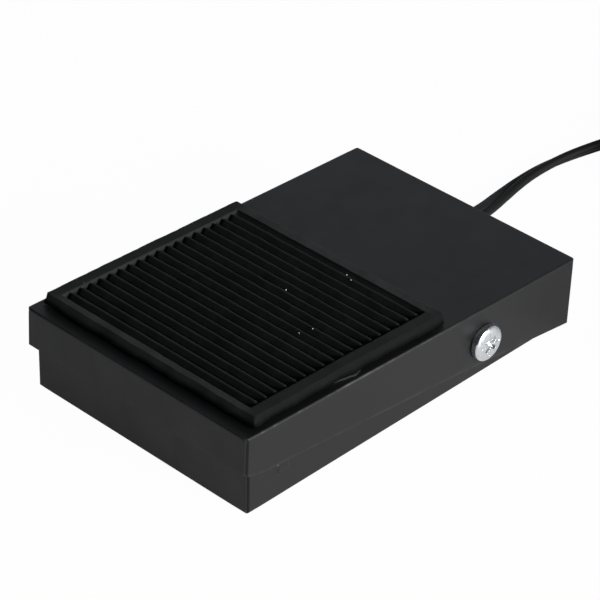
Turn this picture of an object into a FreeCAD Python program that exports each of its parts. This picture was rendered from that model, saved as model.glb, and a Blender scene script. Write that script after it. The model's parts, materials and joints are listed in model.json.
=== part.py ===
import FreeCAD, Part
import math
import os
import re
from itertools import product

import Sketcher

# A foot pedal for a tattoo machine's power supply. A sheet-metal cover tilts on two screws
# in a shallow tray, a spring holds its front up, and pressing the front closes a small switch.
# Frame: +X is the side with the screw that shows, -Y is the front, where the mat is, and +Z is up.
# The origin is on the floor, under the middle of the pedal. All lengths are in millimetres.

doc = FreeCAD.newDocument("FootPedal")

# Driving sizes
# Each row is a name and a size in millimetres, or in degrees where the name says tilt or angle.

SIZES = {
    # cover, measured from the pivot axis while it is level
    "cover_width": 75.0,
    "front_reach": 82.0,
    "rear_reach": 34.0,
    "cover_rise": 9.5,
    "cover_sheet": 1.0,
    "cover_corner": 0.6,
    "front_skirt": 10.5,
    "rear_skirt": 19.0,
    "rest_tilt": 1.92,
    "press_angle": 2.6,
    # gaps between cover and tray
    "side_gap": 0.35,
    "front_gap": 0.57,
    "rear_gap": 0.3,
    "stop_gap": 0.3,
    # tray and feet
    "tray_sheet": 1.0,
    "tray_corner": 0.95,
    "pivot_above_tray": 10.6,
    "foot_height": 1.0,
    "foot_diameter": 12.0,
    "foot_inset": 11.0,
    "foot_chamfer": 0.3,
    # pivot screws and their nuts
    "pivot_thread": 5.0,
    "pivot_running": 0.075,
    "pivot_seat": 0.05,
    "pivot_length": 8.0,
    "pivot_head": 9.5,
    "pivot_head_height": 2.4,
    "pivot_head_rim": 1.3,
    "pivot_head_gap": 0.1,
    "pivot_cross": 5.0,
    "pivot_cross_slot": 1.0,
    "pivot_cross_depth": 1.2,
    "pivot_nut_flats": 8.0,
    "pivot_nut_height": 4.0,
    # tread mat and its tape
    "mat_width": 70.4,
    "mat_length": 64.3,
    "mat_thickness": 2.7,
    "mat_front_inset": 4.4,
    "mat_side_border": 4.0,
    "mat_front_border": 3.6,
    "mat_rear_border": 2.2,
    "mat_groove": 1.8,
    "rib_count": 18,
    "rib_foot": 2.0,
    "rib_crest": 1.0,
    "rib_drop": 0.1,
    "tape_thickness": 0.5,
    "tape_inset": 1.6,
    # return spring, its peg and its cup
    "spring_reach": 54.0,
    "spring_wire": 1.0,
    "spring_outside": 12.6,
    "spring_end_pitch": 1.5,
    "spring_turns": 7,
    "spring_gap": 0.1,
    "peg_clearance": 0.5,
    "peg_height": 4.0,
    "peg_chamfer": 0.8,
    "cup_clearance": 0.7,
    "cup_wall": 1.2,
    "cup_depth": 3.0,
    # switch and what presses it
    "boss_reach": 25.0,
    "boss_diameter": 6.0,
    "boss_height": 1.5,
    "boss_chamfer": 0.4,
    "boss_gap": 0.15,
    "case_length": 19.8,
    "case_thick": 6.4,
    "case_height": 10.2,
    "case_back": 1.0,
    "case_wall": 1.2,
    "case_foot": 4.6,
    "case_lid": 0.8,
    "case_fit": 0.1,
    "plunger_spare": 0.77,
    "plunger_long": 2.0,
    "plunger_wide": 1.6,
    "plunger_shoulder": 0.5,
    "plunger_shoulder_height": 0.8,
    "plunger_stem": 0.6,
    "blade_thick": 0.2,
    "blade_wide": 2.4,
    "blade_length": 16.0,
    "terminal_thick": 0.5,
    "terminal_wide": 2.4,
    "terminal_out": 4.0,
    "terminal_pitch": 7.3,
    "terminal_contact": 1.2,
    "switch_pitch": 9.5,
    "switch_hole_height": 2.4,
    "switch_screw": 2.2,
    "switch_screw_fit": 0.1,
    "switch_head": 4.0,
    "switch_head_height": 1.4,
    "switch_nut_flats": 4.0,
    "switch_nut_height": 1.6,
    "switch_screw_spare": 0.6,
    # bracket, studs and their nuts
    "bracket_gap": 0.05,
    "bracket_sheet": 1.2,
    "bracket_width": 18.0,
    "bracket_foot": 12.0,
    "bracket_top": 2.6,
    "bracket_stud_pitch": 10.0,
    "stud_diameter": 3.0,
    "stud_height": 5.0,
    "stud_fit": 0.15,
    "stud_nut_flats": 5.5,
    "stud_nut_height": 2.4,
    # lead inside the case, its grommet and clamp
    "lead_width": 4.4,
    "lead_fit": 0.1,
    "exit_offset": 6.5,
    "exit_height": 7.0,
    "grommet_flange": 9.4,
    "grommet_flange_thick": 1.2,
    "grommet_hub": 7.0,
    "grommet_fit": 0.05,
    "notch_margin": 1.6,
    "clamp_sheet": 1.0,
    "clamp_width": 8.0,
    "clamp_back": 18.0,
    "clamp_fit": 0.15,
    "clamp_foot": 7.0,
    "lead_bend": 7.0,
    "lead_past_clamp": 4.0,
    "wire_diameter": 1.5,
    "wire_spread": 1.1,
    "wire_corner": 2.1,
    # coil of the lead that is put away
    "coil_side": 27.5,
    "coil_back": 150.0,
    "coil_outer": 36.3,
    "coil_pitch": 4.9,
    "coil_layer": 4.9,
    "coil_turns": 4,
    # plug on the lead's end
    "tail_length": 18.0,
    "plug_handle": 12.0,
    "plug_handle_length": 27.0,
    "plug_chamfer": 0.8,
    "grip_count": 5,
    "grip_pitch": 3.2,
    "grip_depth": 0.5,
    "boot_length": 18.0,
    "boot_thin": 5.8,
    "boot_thick": 8.4,
    "plug_shaft": 6.35,
    "plug_sleeve_length": 24.0,
    "plug_collar": 8.6,
    "plug_collar_length": 1.4,
    "plug_bore": 3.7,
    "plug_rod": 2.4,
    "plug_fit": 0.05,
    "plug_ring_length": 1.2,
    "plug_ring_recess": 0.2,
    "plug_tip_length": 5.2,
    "plug_neck": 4.6,
}

# Sizes and places that follow from the driving ones

WORKED_OUT = {
    # pivot axis, placed so that the tilted cover lies evenly about the origin
    "pivot_y": "(front_reach - rear_reach) / 2 * cos(rest_tilt)"
    " + (front_skirt - 2 * cover_rise) / 2 * sin(rest_tilt)",
    "pivot_z": "foot_height + pivot_above_tray",
    "inner_rise": "cover_rise - cover_sheet",
    # tray walls: inside the skirts, and as tall as the cover's stops ask for
    "tray_half": "cover_width / 2 - cover_sheet - side_gap",
    "tray_front": "pivot_y - (front_reach - cover_sheet) * cos(rest_tilt)"
    " + inner_rise * sin(rest_tilt) + front_gap",
    "tray_rear": "pivot_y + (rear_reach - cover_sheet) * cos(rest_tilt)"
    " - (rear_skirt - cover_rise) * sin(rest_tilt) - rear_gap",
    "tray_top": "pivot_z + inner_rise / cos(rest_tilt)"
    " + (pivot_y - tray_rear) * tan(rest_tilt) - stop_gap",
    "floor_top": "foot_height + tray_sheet",
    "wall_inside": "tray_half - tray_sheet",
    # spring between the tray's floor and the cover's underside
    "spring_y": "pivot_y - spring_reach",
    "spring_top": "pivot_z + inner_rise / cos(rest_tilt)"
    " + (spring_reach - spring_outside / 2) * tan(rest_tilt) - spring_gap",
    "cup_inner": "spring_outside / 2 + cup_clearance",
    # switch, hung from the boss that presses it
    "switch_y": "pivot_y - boss_reach * cos(rest_tilt)"
    " + (inner_rise - boss_height) * sin(rest_tilt)",
    "plunger_top": "pivot_z + boss_reach * sin(rest_tilt)"
    " + (inner_rise - boss_height) * cos(rest_tilt) - boss_gap",
    "case_top": "plunger_top - boss_reach * sin(press_angle) - plunger_spare",
    "case_bottom": "case_top - case_height",
    "cavity_top": "case_top - case_wall",
    "cavity_bottom": "case_bottom + case_foot",
    "shoulder_top": "cavity_top - case_fit",
    "stem_bottom": "shoulder_top - plunger_shoulder_height - plunger_stem",
    "blade_top": "stem_bottom - case_fit",
    "switch_hole_z": "case_bottom + switch_hole_height",
    "bracket_x": "case_thick / 2 + bracket_gap",
    "bracket_stud_x": "bracket_x + bracket_sheet + (bracket_foot - bracket_sheet) / 2",
    # lead inside the case
    "lead_low": "floor_top + lead_width / 2 + lead_fit",
    "lead_exit_y": "tray_rear + grommet_flange_thick",
    "clamp_y": "tray_rear - tray_sheet - clamp_back",
    "clamp_half": "lead_width / 2 + clamp_fit",
    "clamp_stud": "clamp_half + clamp_sheet + (clamp_foot - clamp_sheet) / 2",
    "lead_end_y": "clamp_y - clamp_width / 2 - lead_past_clamp",
    # plug, which lies along -Y beside the coil
    "plug_x": "coil_side + coil_outer",
    "plug_z": "plug_handle / 2",
    "coil_low": "lead_width / 2",
    "coil_high": "coil_low + coil_layer",
    "boot_y": "coil_back - lead_width - tail_length",
    "handle_y": "boot_y - boot_length",
    "shaft_y": "handle_y - plug_handle_length",
}

sheet = doc.addObject("Spreadsheet::Sheet", "Sizes")
for row, (alias, size) in enumerate(SIZES.items(), 1):
    sheet.set(f"A{row}", alias)
    sheet.set(f"B{row}", str(size))
    sheet.setAlias(f"B{row}", alias)
doc.recompute()


def spelled(text):
    """An expression in full: worked-out sizes written out, and each cell named with its sheet."""

    def word(match):
        name = match.group(0)
        if name in WORKED_OUT:
            return "(" + spelled(WORKED_OUT[name]) + ")"
        return "Sizes." + name if name in SIZES else name

    return re.sub(r"[a-z_]+", word, text)


def value(text):
    """What an expression comes to, as a plain number."""
    return float(sheet.evalExpression(spelled(text)))


def bind(target, name, text):
    """Ties a property, or one of its fields, to the sheet."""
    target.setExpression(name, spelled(text))


pieces = {}


def keep(name, piece):
    """Names a finished sub-part, which gets a file of its own."""
    piece.Label = name
    pieces[name] = piece
    return piece


def place(piece, x="0", y="0", z="0", axis=(0, 0, 1), angle=0):
    """Puts a piece where three expressions say, turned about an axis by an angle in degrees."""
    turn = FreeCAD.Rotation(FreeCAD.Vector(*axis), angle)
    piece.Placement = FreeCAD.Placement(FreeCAD.Vector(0, 0, 0), turn)
    for letter, text in zip("xyz", (x, y, z)):
        bind(piece, f"Placement.Base.{letter}", text)
    return piece


def place_on_cover(piece):
    """Carries a piece that was drawn level about the pivot axis to the tilted cover."""
    place(piece, "0", "pivot_y", "pivot_z", axis=(-1, 0, 0), angle=value("rest_tilt"))
    bind(piece, "Placement.Rotation.Angle", "rest_tilt")
    return piece


# Tools for bodies

def body_named(name):
    return doc.addObject("PartDesign::Body", name)


def plane_sketch(body, role, height):
    """An empty sketch on one of the body's own planes, or that far in front of it."""
    sketch = body.newObject("Sketcher::SketchObject", body.Name + "Sketch")
    plane = next(item for item in body.Origin.OriginFeatures if item.Role == role)
    sketch.AttachmentSupport = (plane, "")
    sketch.MapMode = "FlatFace"
    bind(sketch, "AttachmentOffset.Base.z", height)
    return sketch


def fix_point(sketch, geometry, point, along, up):
    """Holds a point of a sketch at two expressions, measured from the sketch's origin."""
    for kind, text in (("DistanceX", along), ("DistanceY", up)):
        index = sketch.addConstraint(Sketcher.Constraint(kind, -1, 1, geometry, point, value(text)))
        bind(sketch, f"Constraints[{index}]", text)


def outline(body, role, corners, height="0"):
    """A sketch of one closed outline with straight sides through the corners."""
    sketch = plane_sketch(body, role, height)
    spots = [FreeCAD.Vector(value(along), value(up), 0) for along, up in corners]
    count = len(spots)
    for index in range(count):
        sketch.addGeometry(Part.LineSegment(spots[index], spots[(index + 1) % count]), False)
    for index in range(count):
        sketch.addConstraint(Sketcher.Constraint("Coincident", index, 2, (index + 1) % count, 1))
    for index, (along, up) in enumerate(corners):
        fix_point(sketch, index, 1, along, up)
    return sketch


def rectangle(body, role, low, high, height="0"):
    """A rectangle between two corners."""
    corners = [(low[0], low[1]), (high[0], low[1]), (high[0], high[1]), (low[0], high[1])]
    return outline(body, role, corners, height)


def circles(body, role, centres, diameter, height="0"):
    """A sketch of equal circles."""
    sketch = plane_sketch(body, role, height)
    for index, (along, up) in enumerate(centres):
        centre = FreeCAD.Vector(value(along), value(up), 0)
        round_edge = Part.Circle(centre, FreeCAD.Vector(0, 0, 1), value(diameter) / 2)
        sketch.addGeometry(round_edge, False)
        fix_point(sketch, index, 3, along, up)
        number = sketch.addConstraint(Sketcher.Constraint("Diameter", index, value(diameter)))
        bind(sketch, f"Constraints[{number}]", diameter)
    return sketch


def pad(body, sketch, length, both_ways=False):
    """Adds the sketch's area, drawn out to a length."""
    feature = body.newObject("PartDesign::Pad", body.Name + "Pad")
    feature.Profile = sketch
    bind(feature, "Length", length)
    feature.Midplane = both_ways
    doc.recompute()
    return feature


def pocket(body, sketch, depth, both_ways=False):
    """Cuts the sketch's area away, down to a depth, and checks that it took something off."""
    before = body.Shape.Volume
    feature = body.newObject("PartDesign::Pocket", body.Name + "Pocket")
    feature.Profile = sketch
    bind(feature, "Length", depth)
    feature.Midplane = both_ways
    doc.recompute()
    if not body.Shape.Volume < before:
        raise RuntimeError(f"{body.Name}: a pocket cuts nothing")
    return feature


def round_edges(body, radius, chosen):
    """Rounds the edges of a body that a test picks out."""
    base = body.Tip
    names = [f"Edge{number}" for number, edge in enumerate(base.Shape.Edges, 1) if chosen(edge)]
    feature = body.newObject("PartDesign::Fillet", body.Name + "Fillet")
    feature.Base = (base, names)
    bind(feature, "Radius", radius)
    doc.recompute()
    return feature


def turned(name, profile, height="0"):
    """A body turned about its own upright axis from corners given as radius and height."""
    body = body_named(name)
    sketch = outline(body, "XZ_Plane", profile, height)
    feature = body.newObject("PartDesign::Revolution", name + "Turn")
    feature.Profile = sketch
    feature.ReferenceAxis = (sketch, ["V_Axis"])
    feature.Angle = 360
    doc.recompute()
    return body


def hexagon_nut(name, flats, thread, thickness):
    """A six-sided nut that stands on the origin, with a plain bore."""
    body = body_named(name)
    corners = []
    for step in range(6):
        angle = 30 + 60 * step
        corners.append(
            (f"{flats} / 2 / cos(30) * cos({angle})", f"{flats} / 2 / cos(30) * sin({angle})")
        )
    pad(body, outline(body, "XY_Plane", corners), thickness)
    pocket(body, circles(body, "XY_Plane", [("0", "0")], thread, thickness), thickness)
    return body


def copies(name, pattern, places):
    """A group of separate solids: one placed copy of a pattern piece for each place."""
    links = []
    for number, (x, y, z, axis, angle) in enumerate(places, 1):
        link = doc.addObject("App::Link", f"{name}Copy{number}")
        link.LinkedObject = pattern
        links.append(place(link, x, y, z, axis, angle))
    group = doc.addObject("Part::Compound", name)
    group.Links = links
    doc.recompute()
    return keep(name, group)


UPRIGHT = (0, 0, 1)
ACROSS = (0, 1, 0)
ALONG = (1, 0, 0)


# Cover

def make_pedal_cover():
    body = body_named("pedal_cover")
    outside = [
        ("-front_reach", "cover_rise - front_skirt"),
        ("rear_reach", "cover_rise - rear_skirt"),
        ("rear_reach", "cover_rise"),
        ("-front_reach", "cover_rise"),
    ]
    pad(body, outline(body, "YZ_Plane", outside), "cover_width", both_ways=True)

    def on_top_or_corner(edge):
        first, last = (vertex.Point for vertex in edge.Vertexes)
        top = value("cover_rise") - 0.01
        upright = abs(first.x - last.x) < 0.01 and abs(first.y - last.y) < 0.01
        return upright or min(first.z, last.z) > top

    round_edges(body, "cover_corner", on_top_or_corner)
    inside = rectangle(
        body,
        "YZ_Plane",
        ("cover_sheet - front_reach", "cover_rise - rear_skirt - cover_sheet"),
        ("rear_reach - cover_sheet", "inner_rise"),
    )
    pocket(body, inside, "cover_width - 2 * cover_sheet", both_ways=True)
    holes = circles(body, "YZ_Plane", [("0", "0")], "pivot_thread + 2 * pivot_running")
    pocket(body, holes, "cover_width + 2 * cover_sheet", both_ways=True)
    notch = rectangle(
        body,
        "XZ_Plane",
        ("-exit_offset - grommet_flange / 2 - notch_margin", "cover_rise - rear_skirt - cover_sheet"),
        (
            "-exit_offset + grommet_flange / 2 + notch_margin",
            "exit_height - pivot_z + grommet_flange / 2 + notch_margin",
        ),
        "2 * cover_sheet - rear_reach",
    )
    pocket(body, notch, "3 * cover_sheet")
    return keep("pedal_cover", place_on_cover(body))


def make_mat_tape():
    body = body_named("mat_tape")
    area = rectangle(
        body,
        "XY_Plane",
        ("tape_inset - mat_width / 2", "mat_front_inset + tape_inset - front_reach"),
        (
            "mat_width / 2 - tape_inset",
            "mat_front_inset + mat_length - tape_inset - front_reach",
        ),
        "cover_rise",
    )
    pad(body, area, "tape_thickness")
    return keep("mat_tape", place_on_cover(body))


def make_tread_mat():
    body = body_named("tread_mat")
    front = "mat_front_inset - front_reach"
    slab = rectangle(
        body,
        "XY_Plane",
        ("-mat_width / 2", front),
        ("mat_width / 2", f"{front} + mat_length"),
        "cover_rise + tape_thickness",
    )
    pad(body, slab, "mat_thickness")
    mat_top = "cover_rise + tape_thickness + mat_thickness"
    field = rectangle(
        body,
        "XY_Plane",
        ("mat_side_border - mat_width / 2", f"{front} + mat_front_border"),
        ("mat_width / 2 - mat_side_border", f"{front} + mat_length - mat_rear_border"),
        mat_top,
    )
    pocket(body, field, "mat_groove")
    pitch = "((mat_length - mat_front_border - mat_rear_border) / rib_count)"
    middle = f"{front} + mat_front_border + {pitch} / 2"
    profile = [
        (f"{middle} - rib_foot / 2", f"{mat_top} - mat_groove"),
        (f"{middle} + rib_foot / 2", f"{mat_top} - mat_groove"),
        (f"{middle} + rib_crest / 2", f"{mat_top} - rib_drop"),
        (f"{middle} - rib_crest / 2", f"{mat_top} - rib_drop"),
    ]
    rib = pad(
        body,
        outline(body, "YZ_Plane", profile),
        "mat_width - 2 * mat_side_border",
        both_ways=True,
    )
    ribs = body.newObject("PartDesign::LinearPattern", "Ribs")
    ribs.Originals = [rib]
    direction = next(item for item in body.Origin.OriginFeatures if item.Role == "Y_Axis")
    ribs.Direction = (direction, [""])
    bind(ribs, "Length", f"{pitch} * (rib_count - 1)")
    bind(ribs, "Occurrences", "rib_count")
    body.Tip = ribs
    doc.recompute()
    return keep("tread_mat", place_on_cover(body))


def make_spring_cup():
    profile = [
        ("cup_inner", "inner_rise - cup_depth"),
        ("cup_inner + cup_wall", "inner_rise - cup_depth"),
        ("cup_inner + cup_wall", "inner_rise"),
        ("cup_inner", "inner_rise"),
    ]
    return keep("spring_cup", place_on_cover(turned("spring_cup", profile, "spring_reach")))


def make_actuator_boss():
    low = "inner_rise - boss_height"
    profile = [
        ("0", low),
        ("boss_diameter / 2 - boss_chamfer", low),
        ("boss_diameter / 2", f"{low} + boss_chamfer"),
        ("boss_diameter / 2", "inner_rise"),
        ("0", "inner_rise"),
    ]
    return keep("actuator_boss", place_on_cover(turned("actuator_boss", profile, "boss_reach")))


# Tray and feet

def make_base_tray():
    body = body_named("base_tray")
    floor = rectangle(
        body, "XY_Plane", ("-tray_half", "tray_front"), ("tray_half", "tray_rear"), "foot_height"
    )
    pad(body, floor, "tray_top - foot_height")

    def below_or_corner(edge):
        return min(vertex.Point.z for vertex in edge.Vertexes) < value("foot_height") + 0.01

    round_edges(body, "tray_corner", below_or_corner)
    inside = rectangle(
        body,
        "XY_Plane",
        ("-wall_inside", "tray_front + tray_sheet"),
        ("wall_inside", "tray_rear - tray_sheet"),
        "tray_top",
    )
    pocket(body, inside, "tray_top - floor_top")
    pivots = circles(
        body, "YZ_Plane", [("pivot_y", "pivot_z")], "pivot_thread + 2 * pivot_seat"
    )
    pocket(body, pivots, "2 * tray_half + 2 * tray_sheet", both_ways=True)
    outlet = circles(
        body,
        "XZ_Plane",
        [("-exit_offset", "exit_height")],
        "grommet_hub + 2 * grommet_fit",
        "2 * tray_sheet - tray_rear",
    )
    pocket(body, outlet, "3 * tray_sheet")
    return keep("base_tray", body)


def make_rubber_feet():
    profile = [
        ("0", "0"),
        ("foot_diameter / 2 - foot_chamfer", "0"),
        ("foot_diameter / 2", "foot_chamfer"),
        ("foot_diameter / 2", "foot_height"),
        ("0", "foot_height"),
    ]
    pattern = turned("foot_pattern", profile)
    places = []
    for x in ("foot_inset - tray_half", "tray_half - foot_inset"):
        for y in ("tray_front + foot_inset", "tray_rear - foot_inset"):
            places.append((x, y, "0", UPRIGHT, 0))
    return copies("rubber_feet", pattern, places)


# Pivot

def make_pivot_screws():
    profile = [
        ("0", "-pivot_length"),
        ("pivot_thread / 2", "-pivot_length"),
        ("pivot_thread / 2", "0"),
        ("pivot_head / 2", "0"),
        ("pivot_head / 2", "pivot_head_rim"),
        ("pivot_head * 0.4", "pivot_head_height * 0.82"),
        ("pivot_head * 0.22", "pivot_head_height"),
        ("0", "pivot_head_height"),
    ]
    pattern = turned("pivot_screw_pattern", profile)
    for long_way, short_way in (("pivot_cross", "pivot_cross_slot"), ("pivot_cross_slot", "pivot_cross")):
        slot = rectangle(
            pattern,
            "XY_Plane",
            (f"-{long_way} / 2", f"-{short_way} / 2"),
            (f"{long_way} / 2", f"{short_way} / 2"),
            "pivot_head_height",
        )
        pocket(pattern, slot, "pivot_cross_depth")
    face = "cover_width / 2 + pivot_head_gap"
    places = [
        (face, "pivot_y", "pivot_z", ACROSS, 90),
        (f"-({face})", "pivot_y", "pivot_z", ACROSS, -90),
    ]
    return copies("pivot_screws", pattern, places)


def make_pivot_nuts():
    pattern = hexagon_nut(
        "pivot_nut_pattern", "pivot_nut_flats", "pivot_thread + 2 * pivot_seat", "pivot_nut_height"
    )
    places = [
        ("wall_inside - pivot_nut_height", "pivot_y", "pivot_z", ACROSS, 90),
        ("pivot_nut_height - wall_inside", "pivot_y", "pivot_z", ACROSS, -90),
    ]
    return copies("pivot_nuts", pattern, places)


# Switch

def make_switch_case():
    body = body_named("switch_case")
    half = "case_length / 2"
    block = rectangle(
        body,
        "YZ_Plane",
        (f"switch_y - {half}", "case_bottom"),
        (f"switch_y + {half}", "case_top"),
        "case_lid - case_thick / 2",
    )
    pad(body, block, "case_thick - case_lid")
    cavity = rectangle(
        body,
        "YZ_Plane",
        (f"switch_y - {half} + case_wall", "cavity_bottom"),
        (f"switch_y + {half} - case_wall", "cavity_top"),
        "case_thick / 2 - case_back",
    )
    pocket(body, cavity, "case_thick")
    holes = [
        ("switch_y - switch_pitch / 2", "switch_hole_z"),
        ("switch_y + switch_pitch / 2", "switch_hole_z"),
    ]
    screw_holes = circles(body, "YZ_Plane", holes, "switch_screw + 2 * switch_screw_fit")
    pocket(body, screw_holes, "2 * case_thick", both_ways=True)
    opening = rectangle(
        body,
        "XY_Plane",
        ("-plunger_wide / 2 - case_fit", "switch_y - plunger_long / 2 - case_fit"),
        ("plunger_wide / 2 + case_fit", "switch_y + plunger_long / 2 + case_fit"),
        "case_top",
    )
    pocket(body, opening, "case_wall")
    for shift in ("-terminal_pitch", "0", "terminal_pitch"):
        slot = rectangle(
            body,
            "XY_Plane",
            (
                "-terminal_thick / 2 - case_fit",
                f"switch_y + {shift} - terminal_wide / 2 - case_fit",
            ),
            (
                "terminal_thick / 2 + case_fit",
                f"switch_y + {shift} + terminal_wide / 2 + case_fit",
            ),
            "cavity_bottom",
        )
        pocket(body, slot, "case_foot")
    return keep("switch_case", body)


def make_switch_lid():
    body = body_named("switch_lid")
    plate = rectangle(
        body,
        "YZ_Plane",
        ("switch_y - case_length / 2", "case_bottom"),
        ("switch_y + case_length / 2", "case_top"),
        "-case_thick / 2",
    )
    pad(body, plate, "case_lid")
    holes = [
        ("switch_y - switch_pitch / 2", "switch_hole_z"),
        ("switch_y + switch_pitch / 2", "switch_hole_z"),
    ]
    screw_holes = circles(body, "YZ_Plane", holes, "switch_screw + 2 * switch_screw_fit")
    pocket(body, screw_holes, "2 * case_thick", both_ways=True)
    return keep("switch_lid", body)


def make_switch_plunger():
    body = body_named("switch_plunger")

    def block(half_x, half_y, low, high):
        area = rectangle(
            body,
            "XY_Plane",
            (f"-({half_x})", f"switch_y - ({half_y})"),
            (half_x, f"switch_y + {half_y}"),
            low,
        )
        pad(body, area, f"{high} - ({low})")

    block("plunger_wide / 2", "plunger_long / 2", "stem_bottom", "plunger_top")
    block(
        "plunger_wide / 2 + plunger_shoulder",
        "plunger_long / 2 + plunger_shoulder",
        "shoulder_top - plunger_shoulder_height",
        "shoulder_top",
    )
    return keep("switch_plunger", body)


def make_switch_blade():
    body = body_named("switch_blade")
    strip = rectangle(
        body,
        "XY_Plane",
        ("-blade_wide / 2", "switch_y - blade_length / 2"),
        ("blade_wide / 2", "switch_y + blade_length / 2"),
        "blade_top - blade_thick",
    )
    pad(body, strip, "blade_thick")
    return keep("switch_blade", body)


def make_switch_terminals():
    tops = ("blade_top - blade_thick", "cavity_bottom + terminal_contact", "cavity_bottom + terminal_contact")
    strips = []
    for shift, top in zip(("-terminal_pitch", "0", "terminal_pitch"), tops):
        strip = doc.addObject("Part::Box", "Terminal")
        bind(strip, "Length", "terminal_thick")
        bind(strip, "Width", "terminal_wide")
        bind(strip, "Height", f"{top} - case_bottom + terminal_out")
        place(
            strip,
            "-terminal_thick / 2",
            f"switch_y + {shift} - terminal_wide / 2",
            "case_bottom - terminal_out",
        )
        strips.append(strip)
    group = doc.addObject("Part::Compound", "switch_terminals")
    group.Links = strips
    doc.recompute()
    return keep("switch_terminals", group)


def make_switch_screws():
    reach = "case_thick / 2 + bracket_x + bracket_sheet + switch_nut_height + switch_screw_spare"
    profile = [
        ("0", f"-({reach})"),
        ("switch_screw / 2", f"-({reach})"),
        ("switch_screw / 2", "0"),
        ("switch_head / 2", "0"),
        ("switch_head / 2", "switch_head_height / 2"),
        ("switch_head / 3", "switch_head_height"),
        ("0", "switch_head_height"),
    ]
    pattern = turned("switch_screw_pattern", profile)
    places = []
    for side in ("-", "+"):
        y = f"switch_y {side} switch_pitch / 2"
        places.append(("-case_thick / 2", y, "switch_hole_z", ACROSS, -90))
    return copies("switch_screws", pattern, places)


def make_switch_nuts():
    pattern = hexagon_nut(
        "switch_nut_pattern",
        "switch_nut_flats",
        "switch_screw + 2 * switch_screw_fit",
        "switch_nut_height",
    )
    places = []
    for side in ("-", "+"):
        y = f"switch_y {side} switch_pitch / 2"
        places.append(("bracket_x + bracket_sheet", y, "switch_hole_z", ACROSS, 90))
    return copies("switch_nuts", pattern, places)


def make_switch_bracket():
    body = body_named("switch_bracket")
    profile = [
        ("bracket_x", "floor_top"),
        ("bracket_x + bracket_foot", "floor_top"),
        ("bracket_x + bracket_foot", "floor_top + bracket_sheet"),
        ("bracket_x + bracket_sheet", "floor_top + bracket_sheet"),
        ("bracket_x + bracket_sheet", "switch_hole_z + bracket_top"),
        ("bracket_x", "switch_hole_z + bracket_top"),
    ]
    section = outline(body, "XZ_Plane", profile, "-switch_y - bracket_width / 2")
    pad(body, section, "bracket_width")
    stud_holes = [
        ("bracket_stud_x", "switch_y - bracket_stud_pitch / 2"),
        ("bracket_stud_x", "switch_y + bracket_stud_pitch / 2"),
    ]
    foot_holes = circles(
        body, "XY_Plane", stud_holes, "stud_diameter + 2 * stud_fit", "floor_top + bracket_sheet"
    )
    pocket(body, foot_holes, "bracket_sheet")
    switch_holes = [
        ("switch_y - switch_pitch / 2", "switch_hole_z"),
        ("switch_y + switch_pitch / 2", "switch_hole_z"),
    ]
    plate_holes = circles(
        body,
        "YZ_Plane",
        switch_holes,
        "switch_screw + 2 * switch_screw_fit",
        "bracket_x + bracket_sheet",
    )
    pocket(body, plate_holes, "bracket_sheet")
    return keep("switch_bracket", body)


# Studs and nuts in the tray's floor

def stud_places(height):
    """Where the bracket and the cord clamp are held down."""
    return [
        ("bracket_stud_x", "switch_y - bracket_stud_pitch / 2", height[0], UPRIGHT, 0),
        ("bracket_stud_x", "switch_y + bracket_stud_pitch / 2", height[0], UPRIGHT, 0),
        ("-exit_offset - clamp_stud", "clamp_y", height[1], UPRIGHT, 0),
        ("-exit_offset + clamp_stud", "clamp_y", height[1], UPRIGHT, 0),
    ]


def make_floor_studs():
    profile = [
        ("0", "0"),
        ("stud_diameter / 2", "0"),
        ("stud_diameter / 2", "stud_height"),
        ("0", "stud_height"),
    ]
    pattern = turned("stud_pattern", profile)
    return copies("floor_studs", pattern, stud_places(("floor_top", "floor_top")))


def make_stud_nuts():
    pattern = hexagon_nut(
        "stud_nut_pattern", "stud_nut_flats", "stud_diameter + 2 * stud_fit", "stud_nut_height"
    )
    heights = ("floor_top + bracket_sheet", "floor_top + clamp_sheet")
    return copies("stud_nuts", pattern, stud_places(heights))


# Grommet and clamp of the lead

def make_cord_grommet():
    inner = "lead_width / 2 + lead_fit"
    profile = [
        (inner, "-tray_sheet - grommet_flange_thick"),
        ("grommet_flange / 2", "-tray_sheet - grommet_flange_thick"),
        ("grommet_flange / 2", "-tray_sheet"),
        ("grommet_hub / 2", "-tray_sheet"),
        ("grommet_hub / 2", "0"),
        ("grommet_flange / 2", "0"),
        ("grommet_flange / 2", "grommet_flange_thick"),
        (inner, "grommet_flange_thick"),
    ]
    body = turned("cord_grommet", profile)
    place(body, "-exit_offset", "tray_rear", "exit_height", ALONG, -90)
    return keep("cord_grommet", body)


def make_cord_clamp():
    body = body_named("cord_clamp")
    high = "lead_width + lead_fit + clamp_fit"
    half = [
        ("clamp_half + clamp_foot", "0"),
        ("clamp_half + clamp_foot", "clamp_sheet"),
        ("clamp_half + clamp_sheet", "clamp_sheet"),
        ("clamp_half + clamp_sheet", f"{high} + clamp_sheet"),
    ]
    inner = [("clamp_half", high), ("clamp_half", "0")]
    loop = [(f"{x} - exit_offset", z) for x, z in inner + half]
    loop += [(f"-({x}) - exit_offset", z) for x, z in reversed(inner + half)]
    corners = [(x, f"floor_top + {z}") for x, z in loop]
    section = outline(body, "XZ_Plane", corners, "-clamp_y - clamp_width / 2")
    pad(body, section, "clamp_width")
    holes = [("-exit_offset - clamp_stud", "clamp_y"), ("-exit_offset + clamp_stud", "clamp_y")]
    stud_holes = circles(
        body, "XY_Plane", holes, "stud_diameter + 2 * stud_fit", "floor_top + clamp_sheet"
    )
    pocket(body, stud_holes, "clamp_sheet")
    return keep("cord_clamp", body)


# Tools for tubes
# A tube's path is a list of edges, each one tangent to the next.

def unit(vector):
    return FreeCAD.Vector(vector).normalize()


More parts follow.
